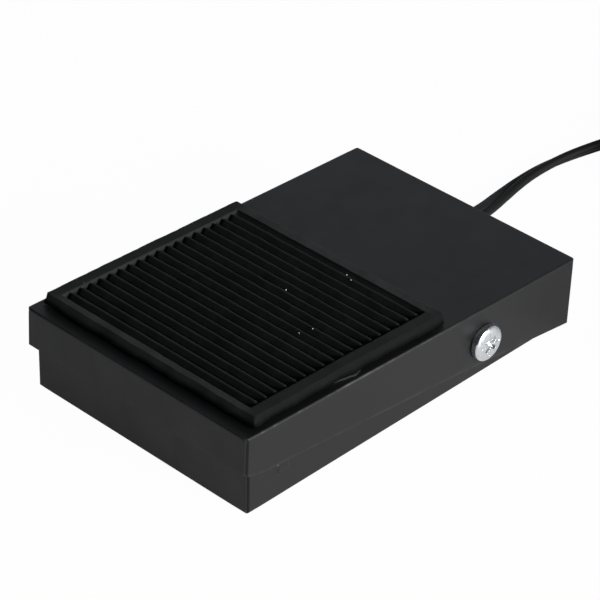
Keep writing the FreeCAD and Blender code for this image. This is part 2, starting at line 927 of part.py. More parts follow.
def arc_from(start, direction, end):
    """The edge that leaves start in a direction and ends at end: an arc, or a line if it can be."""
    chord = end - start
    along = unit(chord)
    sideways = unit(direction) - along * unit(direction).dot(along)
    if sideways.Length < 1e-7:
        return Part.LineSegment(start, end).toShape()
    angle = unit(direction).getAngle(chord)
    middle = (start + end) / 2 + unit(sideways) * (chord.Length / 2 * math.tan(angle / 2))
    return Part.Arc(start, middle, end).toShape()


def two_arcs(start, leaving, end, arriving):
    """Two arcs that join two places smoothly, with the direction given at each."""
    leaving, arriving = unit(leaving), unit(arriving)
    chord = end - start
    both = leaving + arriving
    spread = 2 * (1 - leaving.dot(arriving))
    across = chord.dot(both)
    if spread < 1e-9:
        reach = chord.dot(chord) / (4 * chord.dot(arriving))
    else:
        reach = (math.sqrt(across * across + spread * chord.dot(chord)) - across) / spread
    joint = (start + end + leaving * reach - arriving * reach) / 2
    first = arc_from(start, leaving, joint)
    second = arc_from(end, arriving * -1, joint)
    return [first, Part.Wire(second).Edges[0]]


def rounded_path(name, points):
    """Straight runs through the points, joined by arcs as large as the shorter run allows."""
    points = [FreeCAD.Vector(*point) for point in points]
    edges, radii, last = [], [], points[0]
    for before, corner, after in zip(points, points[1:], points[2:]):
        back, forth = before - corner, after - corner
        half_turn = (math.pi - back.getAngle(forth)) / 2
        cut = 0.45 * min(back.Length, forth.Length)
        radii.append(cut / math.tan(half_turn))
        first, final = corner + unit(back) * cut, corner + unit(forth) * cut
        edges.append(Part.LineSegment(last, first).toShape())
        edges.append(arc_from(first, corner - first, final))
        last = final
    edges.append(Part.LineSegment(last, points[-1]).toShape())
    print(f"{name}: bend radii", ", ".join(f"{radius:.1f}" for radius in radii))
    return edges


def tube(name, edges, diameter):
    """A round solid along a path, checked against its section times its length."""
    path = Part.Wire(Part.__sortEdges__(edges))
    start = path.OrderedVertexes[0].Point
    first = path.OrderedEdges[0]
    heading = first.tangentAt(first.FirstParameter)
    if (first.valueAt(first.FirstParameter) - start).Length > 1e-6:
        heading = first.tangentAt(first.LastParameter) * -1
    section = Part.Wire(Part.makeCircle(diameter / 2, start, heading))
    solid = path.makePipeShell([section], True, False)
    expected = math.pi * diameter**2 / 4 * path.Length
    share = solid.Volume / expected
    print(f"{name}: length {path.Length:.1f}, volume {share:.4f} of section times length")
    if abs(share - 1) > 0.02:
        raise RuntimeError(f"{name}: the tube's volume is {share:.3f} of what it should be")
    feature = doc.addObject("Part::Feature", name)
    feature.Shape = solid
    return keep(name, feature), path


def least_gap(name, path, diameter):
    """Measures on points how near a wound tube comes to itself, and prints it."""
    step = diameter / 4
    points = path.discretize(Distance=step)
    skip = int(4 * diameter / step)
    cells = {}
    nearest = math.inf

    def cell_of(point):
        return tuple(math.floor(reach / (2 * diameter)) for reach in point)

    for index, point in enumerate(points):
        cells.setdefault(cell_of(point), []).append(index)
    for index, point in enumerate(points):
        column, row, layer = cell_of(point)
        for step_x, step_y, step_z in product((-1, 0, 1), repeat=3):
            for other in cells.get((column + step_x, row + step_y, layer + step_z), []):
                if other > index + skip:
                    nearest = min(nearest, point.distanceToPoint(points[other]))
    print(f"{name}: least gap to itself {nearest - diameter:.2f}")


# Return spring

def make_return_spring():
    wire = value("spring_wire")
    radius = (value("spring_outside") - wire) / 2
    low = value("floor_top + spring_gap") + wire / 2
    high = value("spring_top") - wire / 2
    turns = int(value("spring_turns"))
    end_pitch = value("spring_end_pitch")
    middle_pitch = (high - low - 2 * end_pitch) / (turns - 2)
    centre = FreeCAD.Vector(0, value("spring_y"), 0)

    def height(turn):
        if turn <= 1:
            return low + end_pitch * turn
        if turn >= turns - 1:
            return high - end_pitch * (turns - turn)
        return low + end_pitch + middle_pitch * (turn - 1)

    def spot(turn):
        angle = 2 * math.pi * turn
        return centre + FreeCAD.Vector(
            radius * math.cos(angle), radius * math.sin(angle), height(turn)
        )

    def heading(turn):
        angle = 2 * math.pi * turn
        before, after = max(0, turn - 0.01), min(turns, turn + 0.01)
        climb = (height(after) - height(before)) / (after - before) / (2 * math.pi)
        return FreeCAD.Vector(-radius * math.sin(angle), radius * math.cos(angle), climb)

    edges = []
    for half in range(2 * turns):
        start, end = half / 2, (half + 1) / 2
        edges += two_arcs(spot(start), heading(start), spot(end), heading(end))
    _, path = tube("return_spring", edges, wire)
    least_gap("return_spring", path, wire)


def make_spring_peg():
    radius = "(spring_outside / 2 - spring_wire - peg_clearance)"
    profile = [
        ("0", "0"),
        (radius, "0"),
        (radius, "peg_height - peg_chamfer"),
        (f"{radius} - peg_chamfer", "peg_height"),
        ("0", "peg_height"),
    ]
    body = turned("spring_peg", profile)
    place(body, "0", "spring_y", "floor_top")
    return keep("spring_peg", body)


# Lead and wires inside the case

def make_inner_lead():
    side, low = -value("exit_offset"), value("lead_low")
    high = value("exit_height")
    inside = value("tray_rear - tray_sheet")
    bend = value("lead_bend")
    points = [
        (side, value("lead_exit_y"), high),
        (side, inside - bend * 0.5, high),
        (side, inside - bend * 1.5, low),
        (side, value("lead_end_y"), low),
    ]
    tube("inner_lead", rounded_path("inner_lead", points), value("lead_width"))


def make_wires():
    side, low = -value("exit_offset"), value("lead_low")
    start = value("lead_end_y")
    spread, corner = value("wire_spread"), value("wire_corner")
    contact = -value("terminal_thick") / 2
    wires = (
        ("wire_signal", side + spread, value("switch_y + terminal_pitch")),
        ("wire_common", side - spread, value("switch_y - terminal_pitch")),
    )
    for name, x, terminal in wires:
        points = [
            (x, start, low),
            (x, terminal + corner, low),
            (x + corner, terminal, low),
            (contact, terminal, low),
        ]
        tube(name, rounded_path(name, points), value("wire_diameter"))


# Lead on the floor
# The route's points are chosen by hand: out of the grommet, down to the floor, and round to the coil.

LEAD_ROUTE = [
    (-6.5, 66.0, 7.0),
    (-9.0, 77.5, 4.3),
    (-12.2, 88.0, 2.5),
    (-14.0, 98.0, 2.2),
    (-14.5, 107.0, 2.2),
    (-13.8, 116.0, 2.2),
    (-12.2, 124.5, 2.2),
    (-10.1, 133.0, 2.2),
    (-8.8, 139.5, 2.2),
]


def make_cord_run():
    start = (-value("exit_offset"), value("lead_exit_y"), value("exit_height"))
    end = (value("coil_side - coil_outer"), value("coil_back - lead_width"), value("coil_low"))
    points = [start] + LEAD_ROUTE + [end]
    tube("cord_run", rounded_path("cord_run", points), value("lead_width"))


def make_cord_coil():
    """Two layers of flat turns: in along the floor, up a layer at the middle, and out again."""
    lead, pitch = value("lead_width"), value("coil_pitch")
    centre = FreeCAD.Vector(value("coil_side"), value("coil_back"), 0)
    low, high = value("coil_low"), value("coil_high")
    outer, turns = value("coil_outer"), int(value("coil_turns"))
    total = 2 * turns + 0.5
    middle = total / 2

    def radius(turn):
        return outer - pitch * (middle - abs(turn - middle))

    def layer(turn):
        if turn == middle:
            return (low + high) / 2
        return low if turn < middle else high

    def spot(turn):
        angle = math.pi * (1 - 2 * turn)
        return centre + FreeCAD.Vector(
            radius(turn) * math.cos(angle), radius(turn) * math.sin(angle), layer(turn)
        )

    def heading(turn):
        angle = math.pi * (1 - 2 * turn)
        outward = FreeCAD.Vector(math.cos(angle), math.sin(angle), 0)
        forward = FreeCAD.Vector(math.sin(angle), -math.cos(angle), 0)
        climb = (high - low) / (math.pi / 2) if turn == middle else 0
        drift = 0 if turn in (0, middle, total) else pitch / (2 * math.pi)
        drift = -drift if turn < middle else drift
        return forward * radius(turn) + outward * drift + FreeCAD.Vector(0, 0, climb)

    entry, leave = spot(0), spot(total)
    edges = [Part.LineSegment(entry - FreeCAD.Vector(0, lead, 0), entry).toShape()]
    stops = sorted([half / 2 for half in range(int(2 * total) + 1)] + [middle])
    for start, end in zip(stops, stops[1:]):
        edges += two_arcs(spot(start), heading(start), spot(end), heading(end))
    edges.append(Part.LineSegment(leave, leave - FreeCAD.Vector(0, lead, 0)).toShape())
    _, path = tube("cord_coil", edges, lead)
    least_gap("cord_coil", path, lead)


def make_cord_tail():
    x, start, end = value("plug_x"), value("coil_back - lead_width"), value("boot_y")
    high, low = value("coil_high"), value("plug_z")
    third = (start - end) / 3
    points = [
        (x, start, high),
        (x, start - third, high),
        (x, end + third, low),
        (x, end, low),
    ]
    tube("cord_tail", rounded_path("cord_tail", points), value("lead_width"))


# Plug
# Each piece is turned about an upright axis and laid along -Y, where its own +Z points.

def lay_plug_piece(body, start):
    return keep(body.Name, place(body, "plug_x", start, "plug_z", ALONG, 90))


def make_plug_boot():
    profile = [
        ("0", "0"),
        ("boot_thin / 2", "0"),
        ("boot_thick / 2", "boot_length"),
        ("0", "boot_length"),
    ]
    return lay_plug_piece(turned("plug_boot", profile), "boot_y")


def make_plug_handle():
    profile = [
        ("0", "0"),
        ("plug_handle / 2 - plug_chamfer", "0"),
        ("plug_handle / 2", "plug_chamfer"),
    ]
    grip = "(plug_handle_length - (grip_count - 1) * grip_pitch) / 2"
    for number in range(int(value("grip_count"))):
        middle = f"{grip} + {number} * grip_pitch"
        profile.append(("plug_handle / 2", f"{middle} - grip_pitch / 4"))
        profile.append(("plug_handle / 2 - grip_depth", middle))
        profile.append(("plug_handle / 2", f"{middle} + grip_pitch / 4"))
    profile += [
        ("plug_handle / 2", "plug_handle_length - plug_chamfer"),
        ("plug_handle / 2 - plug_chamfer", "plug_handle_length"),
        ("0", "plug_handle_length"),
    ]
    return lay_plug_piece(turned("plug_handle", profile), "handle_y")


def make_plug_sleeve():
    profile = [
        ("plug_bore / 2", "0"),
        ("plug_collar / 2", "0"),
        ("plug_collar / 2", "plug_collar_length"),
        ("plug_shaft / 2", "plug_collar_length"),
        ("plug_shaft / 2", "plug_sleeve_length"),
        ("plug_bore / 2", "plug_sleeve_length"),
    ]
    return lay_plug_piece(turned("plug_sleeve", profile), "shaft_y")


def make_plug_insulator():
    bore = "plug_rod / 2 + plug_fit"
    profile = [
        (bore, "0"),
        ("plug_bore / 2 - plug_fit", "0"),
        ("plug_bore / 2 - plug_fit", "plug_sleeve_length"),
        ("plug_shaft / 2 - plug_ring_recess", "plug_sleeve_length"),
        ("plug_shaft / 2 - plug_ring_recess", "plug_sleeve_length + plug_ring_length"),
        (bore, "plug_sleeve_length + plug_ring_length"),
    ]
    return lay_plug_piece(turned("plug_insulator", profile), "shaft_y")


def make_plug_tip():
    base = "plug_sleeve_length + plug_ring_length"
    profile = [
        ("0", "0"),
        ("plug_rod / 2", "0"),
        ("plug_rod / 2", base),
        ("plug_shaft / 2", base),
        ("plug_neck / 2", f"{base} + plug_tip_length * 0.3"),
        ("plug_shaft / 2", f"{base} + plug_tip_length * 0.55"),
        ("plug_rod / 2", f"{base} + plug_tip_length"),
        ("0", f"{base} + plug_tip_length"),
    ]
    return lay_plug_piece(turned("plug_tip", profile), "shaft_y")


make_pedal_cover()
make_mat_tape()
make_tread_mat()
make_spring_cup()
make_actuator_boss()
make_base_tray()
make_rubber_feet()
make_pivot_screws()
make_pivot_nuts()
make_switch_case()
make_switch_lid()
make_switch_plunger()
make_switch_blade()
make_switch_terminals()
make_switch_screws()
make_switch_nuts()
make_switch_bracket()
make_floor_studs()
make_stud_nuts()
make_cord_grommet()
make_cord_clamp()
make_return_spring()
make_spring_peg()
make_inner_lead()
make_wires()
make_cord_run()
make_cord_coil()
make_cord_tail()
make_plug_boot()
make_plug_handle()
make_plug_sleeve()
make_plug_insulator()
make_plug_tip()
doc.recompute()

# Check every object, then write one file for each sub-part

for item in doc.Objects:
    if "Invalid" in item.State or "Error" in item.State:
        raise RuntimeError(f"{item.Label}: {item.State}")
for name, piece in pieces.items():
    if piece.Shape.isNull() or not piece.Shape.isValid() or not piece.Shape.Solids:
        raise RuntimeError(f"{name}: its shape isn't a valid solid")

os.makedirs("parts", exist_ok=True)
for name, piece in pieces.items():
    piece.Shape.exportStep(f"parts/{name}.step")
print(f"{len(pieces)} sub-parts, pivot at y {value('pivot_y'):.3f}, z {value('pivot_z'):.3f}")
print(f"tray y {value('tray_front'):.2f} to {value('tray_rear'):.2f}, top {value('tray_top'):.2f}")
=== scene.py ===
# %% [markdown]
# # A foot pedal, from folded sheet metal to rubber and lead
#
# A tattoo machine's power supply is switched by a small foot pedal: a folded black lid that tilts
# in a shallow tray, a ribbed rubber mat to step on, two bright screws to turn on, and a flat twin
# lead that runs off to a plug. The construction comes ready made, at its real size. This lesson
# dresses it: it makes the pieces that show as finely as they look, and gives each a finish.

import json
import math
import random

import bmesh
import bpy
import numpy as np
from mathutils import Matrix, Vector, noise


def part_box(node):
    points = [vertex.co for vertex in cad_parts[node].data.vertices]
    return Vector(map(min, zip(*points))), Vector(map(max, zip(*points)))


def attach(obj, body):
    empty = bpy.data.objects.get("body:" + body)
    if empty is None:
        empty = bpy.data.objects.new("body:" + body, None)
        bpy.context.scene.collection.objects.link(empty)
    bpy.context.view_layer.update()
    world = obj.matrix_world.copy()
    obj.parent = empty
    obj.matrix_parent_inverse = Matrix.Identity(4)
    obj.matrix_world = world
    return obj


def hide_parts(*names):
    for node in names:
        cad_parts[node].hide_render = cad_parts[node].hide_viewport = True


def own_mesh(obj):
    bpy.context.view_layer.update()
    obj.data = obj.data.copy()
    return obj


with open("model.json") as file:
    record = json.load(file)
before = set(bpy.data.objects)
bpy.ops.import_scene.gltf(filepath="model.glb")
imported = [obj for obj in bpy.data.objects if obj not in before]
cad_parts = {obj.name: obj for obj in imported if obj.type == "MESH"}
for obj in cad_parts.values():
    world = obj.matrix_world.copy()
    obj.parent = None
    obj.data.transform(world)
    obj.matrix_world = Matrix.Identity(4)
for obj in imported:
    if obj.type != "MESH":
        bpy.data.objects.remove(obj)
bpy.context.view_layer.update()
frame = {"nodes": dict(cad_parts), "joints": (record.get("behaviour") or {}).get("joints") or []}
nodes = frame["nodes"]

# %% [markdown]
# ## The lid's own level frame
#
# The lid rests with its front a little up, because the return spring holds it there. Drawing on a
# slope is awkward, so everything on the lid is drawn level, measured from the axis of its two
# screws, and one matrix carries it to its place. The axis and the slope are read from the frame.

# %% Millimetres, and the slope of the lid
MM = 0.001
tilt_joint = next(joint for joint in frame["joints"] if joint["name"] == "pedal_tilt")
PIVOT = Vector(tilt_joint["pos_m"])
widest = max(nodes["pedal_cover"].data.polygons, key=lambda face: face.area)
REST_TILT = math.atan2(abs(widest.normal.y), abs(widest.normal.z))
LID_PLACE = Matrix.Translation(PIVOT) @ Matrix.Rotation(-REST_TILT, 4, "X")


def level_box(node):
    """The lowest and highest corner of a node on the lid, in the lid's level frame, in millimetres."""
    back = LID_PLACE.inverted()
    spots = [back @ vertex.co / MM for vertex in nodes[node].data.vertices]
    low = Vector([min(spot[axis] for spot in spots) for axis in range(3)])
    high = Vector([max(spot[axis] for spot in spots) for axis in range(3)])
    return low, high


def box_in_mm(node):
    low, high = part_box(node)
    return low / MM, high / MM


lid_low, lid_high = level_box("pedal_cover")
tray_low, tray_high = box_in_mm("base_tray")
mat_low, mat_high = level_box("tread_mat")
print(f"slope {math.degrees(REST_TILT):.2f} degrees, lid {lid_low[:]} to {lid_high[:]}")

# %% [markdown]
# ## The camera
#
# The picture is taken from the front right, from above, with a long lens, so that the box hardly
# tapers. A camera in Blender looks along its own -Z: it is first tipped up from looking straight
# down, then turned about the upright axis, and a small roll about its own view axis comes before both.

# %% Camera at the picture's angle
CAMERA_PLACE = Vector((416.291, -439.996, 426.491)) * MM
CAMERA_TURN = 43.543
CAMERA_ABOVE = 34.082
CAMERA_ROLL = 1.229
CAMERA_LENS = 178.65

camera = bpy.data.objects.new("camera", bpy.data.cameras.new("camera"))
camera.data.lens = CAMERA_LENS
camera.data.sensor_width = 36.0
camera.data.clip_start = 0.01
camera.data.clip_end = 20.0
upright = Matrix.Rotation(math.radians(CAMERA_TURN), 4, "Z")
tipped = Matrix.Rotation(math.radians(90.0 - CAMERA_ABOVE), 4, "X")
rolled = Matrix.Rotation(math.radians(CAMERA_ROLL), 4, "Z")
camera.matrix_world = Matrix.Translation(CAMERA_PLACE) @ upright @ tipped @ rolled
bpy.context.scene.collection.objects.link(camera)
bpy.context.scene.camera = camera
bpy.context.scene.view_settings.view_transform = "Standard"
print("camera looks along", camera.matrix_world.to_3x3() @ Vector((0, 0, -1)))

# %% [markdown]
# ## Small tools for meshes
#
# Each piece is a mesh whose object stays at the origin. `new_piece` turns a bmesh into such an
# object, and `settle` bakes its modifiers in, so that what rides on the pedal is plain geometry.

# %% Pieces, settled modifiers and smooth shading


def new_piece(name, shape, place=Matrix.Identity(4)):
    """An object at the origin from a bmesh drawn in millimetres, carried to its place."""
    mesh = bpy.data.meshes.new(name)
    shape.transform(place @ Matrix.Scale(MM, 4))
    shape.to_mesh(mesh)
    shape.free()
    piece = bpy.data.objects.new(name, mesh)
    bpy.context.scene.collection.objects.link(piece)
    return piece


def settle(piece):
    """Bakes a piece's modifiers into its mesh and takes them off."""
    graph = bpy.context.evaluated_depsgraph_get()
    mesh = bpy.data.meshes.new_from_object(piece.evaluated_get(graph))
    piece.modifiers.clear()
    piece.data = mesh
    mesh.name = piece.name
    return piece


def shade(piece):
    """Smooth shading whose normals follow the large faces, so that flats stay flat beside bends."""
    piece.data.shade_smooth()
    even = piece.modifiers.new("Even shading", "WEIGHTED_NORMAL")
    even.weight = 90
    return settle(piece)


def soften(shape, width, steps, chosen):
    """Rounds the edges of a bmesh that a test picks out."""
    edges = [edge for edge in shape.edges if chosen(edge)]
    bmesh.ops.bevel(
        shape,
        geom=edges,
        offset=width,
        segments=steps,
        profile=0.5,
        affect="EDGES",
        clamp_overlap=False,
    )


def sharp(edge, least=math.radians(30)):
    return edge.is_manifold and edge.is_convex and edge.calc_face_angle() > least


def join_rings(shape, rings):
    """Faces between each ring of vertices and the next, which has as many."""
    for ring, following in zip(rings, rings[1:]):
        for index in range(len(ring)):
            other = (index + 1) % len(ring)
            shape.faces.new((ring[index], ring[other], following[other], following[index]))


# %% [markdown]
# ## The lead: one length, one smooth line
#
# The lead is a flat twin: two round strands side by side, like a figure eight. It leaves the tray
# on edge, twists once on its way down to the floor, and runs out of the picture. What the picture
# doesn't show, up to 1.5 metres in all, is put away in a neat coil, two layers deep, with the plug
# beside it. The whole lead is one NURBS spline, whose control points are listed as far as
# the coil, and worked out by a loop within it.

# %% Route of the lead
LEAD_WIDTH = 4.4
grommet_low, grommet_high = box_in_mm("cord_grommet")
exit_place = Vector(
    ((grommet_low.x + grommet_high.x) / 2, grommet_high.y, (grommet_low.z + grommet_high.z) / 2)
)
LEAD_ROUTE = [
    (-6.5, 66.0, 7.0),
    (-9.0, 77.5, 4.3),
    (-12.2, 88.0, 2.5),
    (-14.0, 98.0, 2.2),
    (-14.5, 107.0, 2.2),
    (-13.8, 116.0, 2.2),
    (-12.2, 124.5, 2.2),
    (-10.1, 133.0, 2.2),
    (-8.8, 139.5, 2.2),
]
COIL_MIDDLE = Vector((27.5, 150.0, 0.0))
COIL_OUTER = 36.3
COIL_PITCH = 4.9
COIL_LAYER = 4.9
COIL_TURNS = 8.5
COIL_STEPS = 16
TAIL_ROUTE = [(63.8, 145.6, 7.1), (63.8, 139.6, 7.1), (63.8, 133.6, 6.0), (63.8, 127.6, 6.0)]
INTO_GROMMET = Vector((0.0, -1.6, 0.0))
INTO_BOOT = Vector((0.0, -4.0, 0.0))


def coil_spot(turn):
    """A place on the coil: in along the floor to the middle, up a layer, and out again."""
    middle = COIL_TURNS / 2
    radius = COIL_OUTER - COIL_PITCH * (middle - abs(turn - middle))
    climbed = min(max((turn - (middle - 0.25)) / 0.5, 0.0), 1.0)
    angle = math.pi * (1 - 2 * turn)
    height = LEAD_WIDTH / 2 + COIL_LAYER * climbed
    return COIL_MIDDLE + Vector((radius * math.cos(angle), radius * math.sin(angle), height))


def smooth_line(name, spots, resolution):
    """Points in metres along a NURBS spline, whose control points are in millimetres."""
    curve = bpy.data.curves.new(name, "CURVE")
    curve.dimensions = "3D"
    curve.resolution_u = resolution
    spline = curve.splines.new("NURBS")
    spline.points.add(len(spots) - 1)
    for point, spot in zip(spline.points, spots):
        point.co = (*(spot * MM), 1.0)
    spline.order_u = 3
    spline.use_endpoint_u = True
    drawn = bpy.data.objects.new(name, curve)
    bpy.context.scene.collection.objects.link(drawn)
    line = [vertex.co.copy() for vertex in bpy.data.meshes.new_from_object(drawn).vertices]
    bpy.data.objects.remove(drawn)
    return line


run_end = coil_spot(0) - Vector((0.0, LEAD_WIDTH, 0.0))
route = [exit_place + INTO_GROMMET] + [Vector(spot) for spot in LEAD_ROUTE] + [run_end]
steps_in_coil = int(COIL_TURNS * COIL_STEPS)
route += [coil_spot(step / COIL_STEPS) for step in range(steps_in_coil + 1)]
route += [Vector(spot) for spot in TAIL_ROUTE] + [Vector(TAIL_ROUTE[-1]) + INTO_BOOT]

lead_line = smooth_line("lead_line", route, 6)
LEAD_LENGTH = sum((after - before).length for before, after in zip(lead_line, lead_line[1:]))
print(f"lead: {len(route)} control points, {len(lead_line)} points on its line, {LEAD_LENGTH:.3f} m")

# %% [markdown]
# A flat lead has a way up, so a plain bevelled curve won't do. The mesh is swept by hand instead:
# at each point of the line a figure-eight section stands square to the line, turned by a roll that
# changes slowly along the way. Zero is flat on the floor, and ninety degrees is on edge, which is
# how a flat lead bends most easily in a coil.

# %% A figure-eight section, swept along the line
STRAND_RADIUS = 1.25
STRAND_APART = 0.95
STRAND_STEPS = 14
LEAD_ROLL = [
    (0.0, -88.0),
    (0.021, -50.0),
    (0.036, 5.0),
    (0.0445, 26.0),
    (0.0634, 48.0),
    (0.083, 64.0),
    (0.105, 90.0),
]
ROLL_EASE = 0.004


def twin_section():
    """Points round two strands side by side, from one notch over a strand to the other notch."""
    notch = math.acos(STRAND_APART / STRAND_RADIUS)
    section = []
    for side in (1, -1):
        for step in range(STRAND_STEPS + 1):
            angle = (math.pi - notch) * (2 * step / STRAND_STEPS - 1)
            across = side * (STRAND_APART + STRAND_RADIUS * math.cos(angle))
            section.append((across, side * STRAND_RADIUS * math.sin(angle)))
    return section


def rolls_along(line, keys):
    """The roll at each point of a line, in radians, eased between places given by distance."""
    gone = np.cumsum([0.0] + [(after - before).length for before, after in zip(line, line[1:])])
    places, turns = zip(*keys)
    offsets = np.linspace(-ROLL_EASE, ROLL_EASE, 9)
    eased = [np.interp(gone + offset, places, turns) for offset in offsets]
    return np.radians(np.mean(eased, axis=0))


def sweep(section, line, rolls):
    """A closed tube of a section in millimetres along a line in metres."""
    shape = bmesh.new()
    rings = []
    for index, spot in enumerate(line):
        ahead = line[min(index + 1, len(line) - 1)] - line[max(index - 1, 0)]
        ahead.normalize()
        level = ahead.cross(Vector((0, 0, 1))).normalized()
        upward = level.cross(ahead)
        wide = level * math.cos(rolls[index]) + upward * math.sin(rolls[index])
        thin = ahead.cross(wide)
        rings.append([shape.verts.new(spot / MM + wide * a + thin * b) for a, b in section])
    join_rings(shape, rings)
    shape.faces.new(list(reversed(rings[0])))
    shape.faces.new(rings[-1])
    bmesh.ops.recalc_face_normals(shape, faces=shape.faces)
    return shape


lead_flex = new_piece("lead_flex", sweep(twin_section(), lead_line, rolls_along(lead_line, LEAD_ROLL)))
lead_flex.data.shade_smooth()
print("lead_flex:", len(lead_flex.data.polygons), "faces")

# %% [markdown]
# ## Finishes
#
# A finish is a shader whose colour, gloss and bumps change a little over the surface, as the real
# one does. Every finish here reads the piece's own Object coordinates, so the pattern stays put when
# the piece moves. `grain` is the shared tool: noise whose blotches have a size in millimetres.

# %% Tools for finishes


def new_finish(name, colour, roughness):
    """A material with one main shader, its plain colour and roughness set on the shader itself."""
    finish = bpy.data.materials.new(name)
    finish.use_nodes = True
    shader = finish.node_tree.nodes["Principled BSDF"]
    shader.inputs["Base Color"].default_value = (*colour, 1.0)
    shader.inputs["Roughness"].default_value = roughness
    finish.diffuse_color = (*colour, 1.0)
    return finish, finish.node_tree, shader


def grain(tree, size, stretch=(1.0, 1.0, 1.0), detail=3.0, seed=0.0):
    """Noise from 0 to 1 whose blotches are about that many millimetres across."""
    place = tree.nodes.new("ShaderNodeTexCoord")
    mapping = tree.nodes.new("ShaderNodeMapping")
    mapping.inputs["Scale"].default_value = [share / (size * MM) for share in stretch]
    blotches = tree.nodes.new("ShaderNodeTexNoise")
    blotches.noise_dimensions = "4D"
    blotches.inputs["Scale"].default_value = 1.0
    blotches.inputs["Detail"].default_value = detail
    blotches.inputs["W"].default_value = seed
    tree.links.new(place.outputs["Object"], mapping.inputs["Vector"])
    tree.links.new(mapping.outputs["Vector"], blotches.inputs["Vector"])
    return blotches.outputs["Fac"]


def between(tree, share, low, high, start=0.3, end=0.7):
    """A number that goes from low to high as the share goes from start to end."""
    ramp = tree.nodes.new("ShaderNodeMapRange")
    ramp.inputs["From Min"].default_value = start
    ramp.inputs["From Max"].default_value = end
    ramp.inputs["To Min"].default_value = low
    ramp.inputs["To Max"].default_value = high
    tree.links.new(share, ramp.inputs["Value"])
    return ramp.outputs["Result"]


def mixed(tree, share, first, second):
    """A colour between two, each given as a colour or as a socket."""
    mix = tree.nodes.new("ShaderNodeMix")
    mix.data_type = "RGBA"
    tree.links.new(share, mix.inputs["Factor"])
    for name, colour in (("A", first), ("B", second)):
        socket = next(item for item in mix.inputs if item.name == name and item.type == "RGBA")
        if isinstance(colour, tuple):
            socket.default_value = (*colour, 1.0)
        else:
            tree.links.new(colour, socket)
    return next(item for item in mix.outputs if item.type == "RGBA")


def marked(tree, name):
    """The share that a piece's mesh carries for a mark, such as wear or dust."""
    mark = tree.nodes.new("ShaderNodeAttribute")
    mark.attribute_name = name
    return mark.outputs["Fac"]


def times(tree, first, second):
    """The product of two sockets, or of a socket and a number."""
    product = tree.nodes.new("ShaderNodeMath")
    product.operation = "MULTIPLY"
    tree.links.new(first, product.inputs[0])
    if isinstance(second, float):
        product.inputs[1].default_value = second
    else:
        tree.links.new(second, product.inputs[1])
    return product.outputs["Value"]


def bumps(tree, shader, layers):
    """Bumps from several grains, each with its height in millimetres."""
    below = None
    for height, depth in layers:
        bump = tree.nodes.new("ShaderNodeBump")
        bump.inputs["Strength"].default_value = 1.0
        bump.inputs["Distance"].default_value = depth * MM
        tree.links.new(height, bump.inputs["Height"])
        if below is not None:
            tree.links.new(below, bump.inputs["Normal"])
        below = bump.outputs["Normal"]
    tree.links.new(below, shader.inputs["Normal"])


# %% [markdown]
# The sheet metal is painted satin black. Up close such paint has an orange-peel skin, a haze that
# makes it a touch more or less glossy from place to place, and thin spots on its sharp bends,
# where the grey primer begins to show. The mesh carries two attributes: `bend` marks the bends,
# where handling has dulled the paint, and `wear` marks where the pale colour goes:
# rubbed paint on the bends, and along the sides' top bend near the front and the skirts' lower
# edges a painted highlight line as well. Noise breaks it up, so that only parts of an edge look pale.

# %% Satin black paint
PAINT_BLACK = (0.0055, 0.0056, 0.0059)
PAINT_HAZE = (0.0075, 0.0077, 0.0081)
# Pale grey where the paint is rubbed thin; the same colour paints the highlight line along the lid's edges.
PAINT_WORN_AND_HIGHLIT = (0.120, 0.121, 0.124)
PAINT_SHINE = 0.34
PAINT_DULL = 0.85


def satin_paint(name, seed):
    finish, tree, shader = new_finish(name, PAINT_BLACK, 0.42)
    shader.inputs["Specular IOR Level"].default_value = PAINT_SHINE
    patches = between(tree, grain(tree, 5.0, seed=seed), 0.2, 1.0, 0.43, 0.61)
    # The pale share is partly rubbed paint and partly a painted highlight along the bends.
    thin = times(tree, marked(tree, "wear"), patches)
    cloudy = mixed(tree, grain(tree, 14.0, seed=seed), PAINT_BLACK, PAINT_HAZE)
    tree.links.new(mixed(tree, thin, cloudy, PAINT_WORN_AND_HIGHLIT), shader.inputs["Base Color"])
    gloss = between(tree, grain(tree, 9.0, seed=seed + 3.0), 0.36, 0.46)
    dulled = between(tree, marked(tree, "bend"), 0.0, PAINT_DULL, 0.0, 1.0)
    tree.links.new(gloss, dulled.node.inputs["To Min"])
    tree.links.new(dulled, shader.inputs["Roughness"])
    peel = grain(tree, 0.9, detail=2.0, seed=seed)
    speckle = grain(tree, 0.22, detail=1.0, seed=seed + 5.0)
    bumps(tree, shader, [(peel, 0.012), (speckle, 0.004)])
    return finish


cover_paint = satin_paint("cover_paint", 1.0)
tray_paint = satin_paint("tray_paint", 7.0)

# %% [markdown]
# Rubber takes colour from what it is filled with. The mat is nearly black and dull, with a faint
# green cast and a fine skin from the mould. Dust has settled on what faces up, most of all on the
# border behind and in front of the ribs, which the mesh marks with an attribute called `dust`. The
# lead's sheath is soft vinyl: smoother, and shinier.

# %% Rubber, tape and vinyl
RUBBER_SHINE = 0.22
MAT_SHINE = 0.08
MAT_DUST = (0.0440, 0.0460, 0.0455)


def moulded_rubber(name, dark, pale, gloss, skin, shine=RUBBER_SHINE, dusty=None):
    """Rubber between two colours and two roughnesses, with a skin of bumps that deep in millimetres."""
    finish, tree, shader = new_finish(name, dark, gloss[1])
    shader.inputs["Specular IOR Level"].default_value = shine
    colour = mixed(tree, grain(tree, 11.0), dark, pale)
    if dusty:
        settled = times(tree, marked(tree, "dust"), between(tree, grain(tree, 6.0, seed=8.0), 0.6, 1.0))
        colour = mixed(tree, settled, colour, dusty)
    tree.links.new(colour, shader.inputs["Base Color"])
    tree.links.new(between(tree, grain(tree, 3.5, seed=2.0), *gloss), shader.inputs["Roughness"])
    bumps(tree, shader, [(grain(tree, 1.6, seed=4.0), skin), (grain(tree, 0.3, detail=1.0), skin / 3)])
    return finish


def grey(level):
    return (level, level, level)


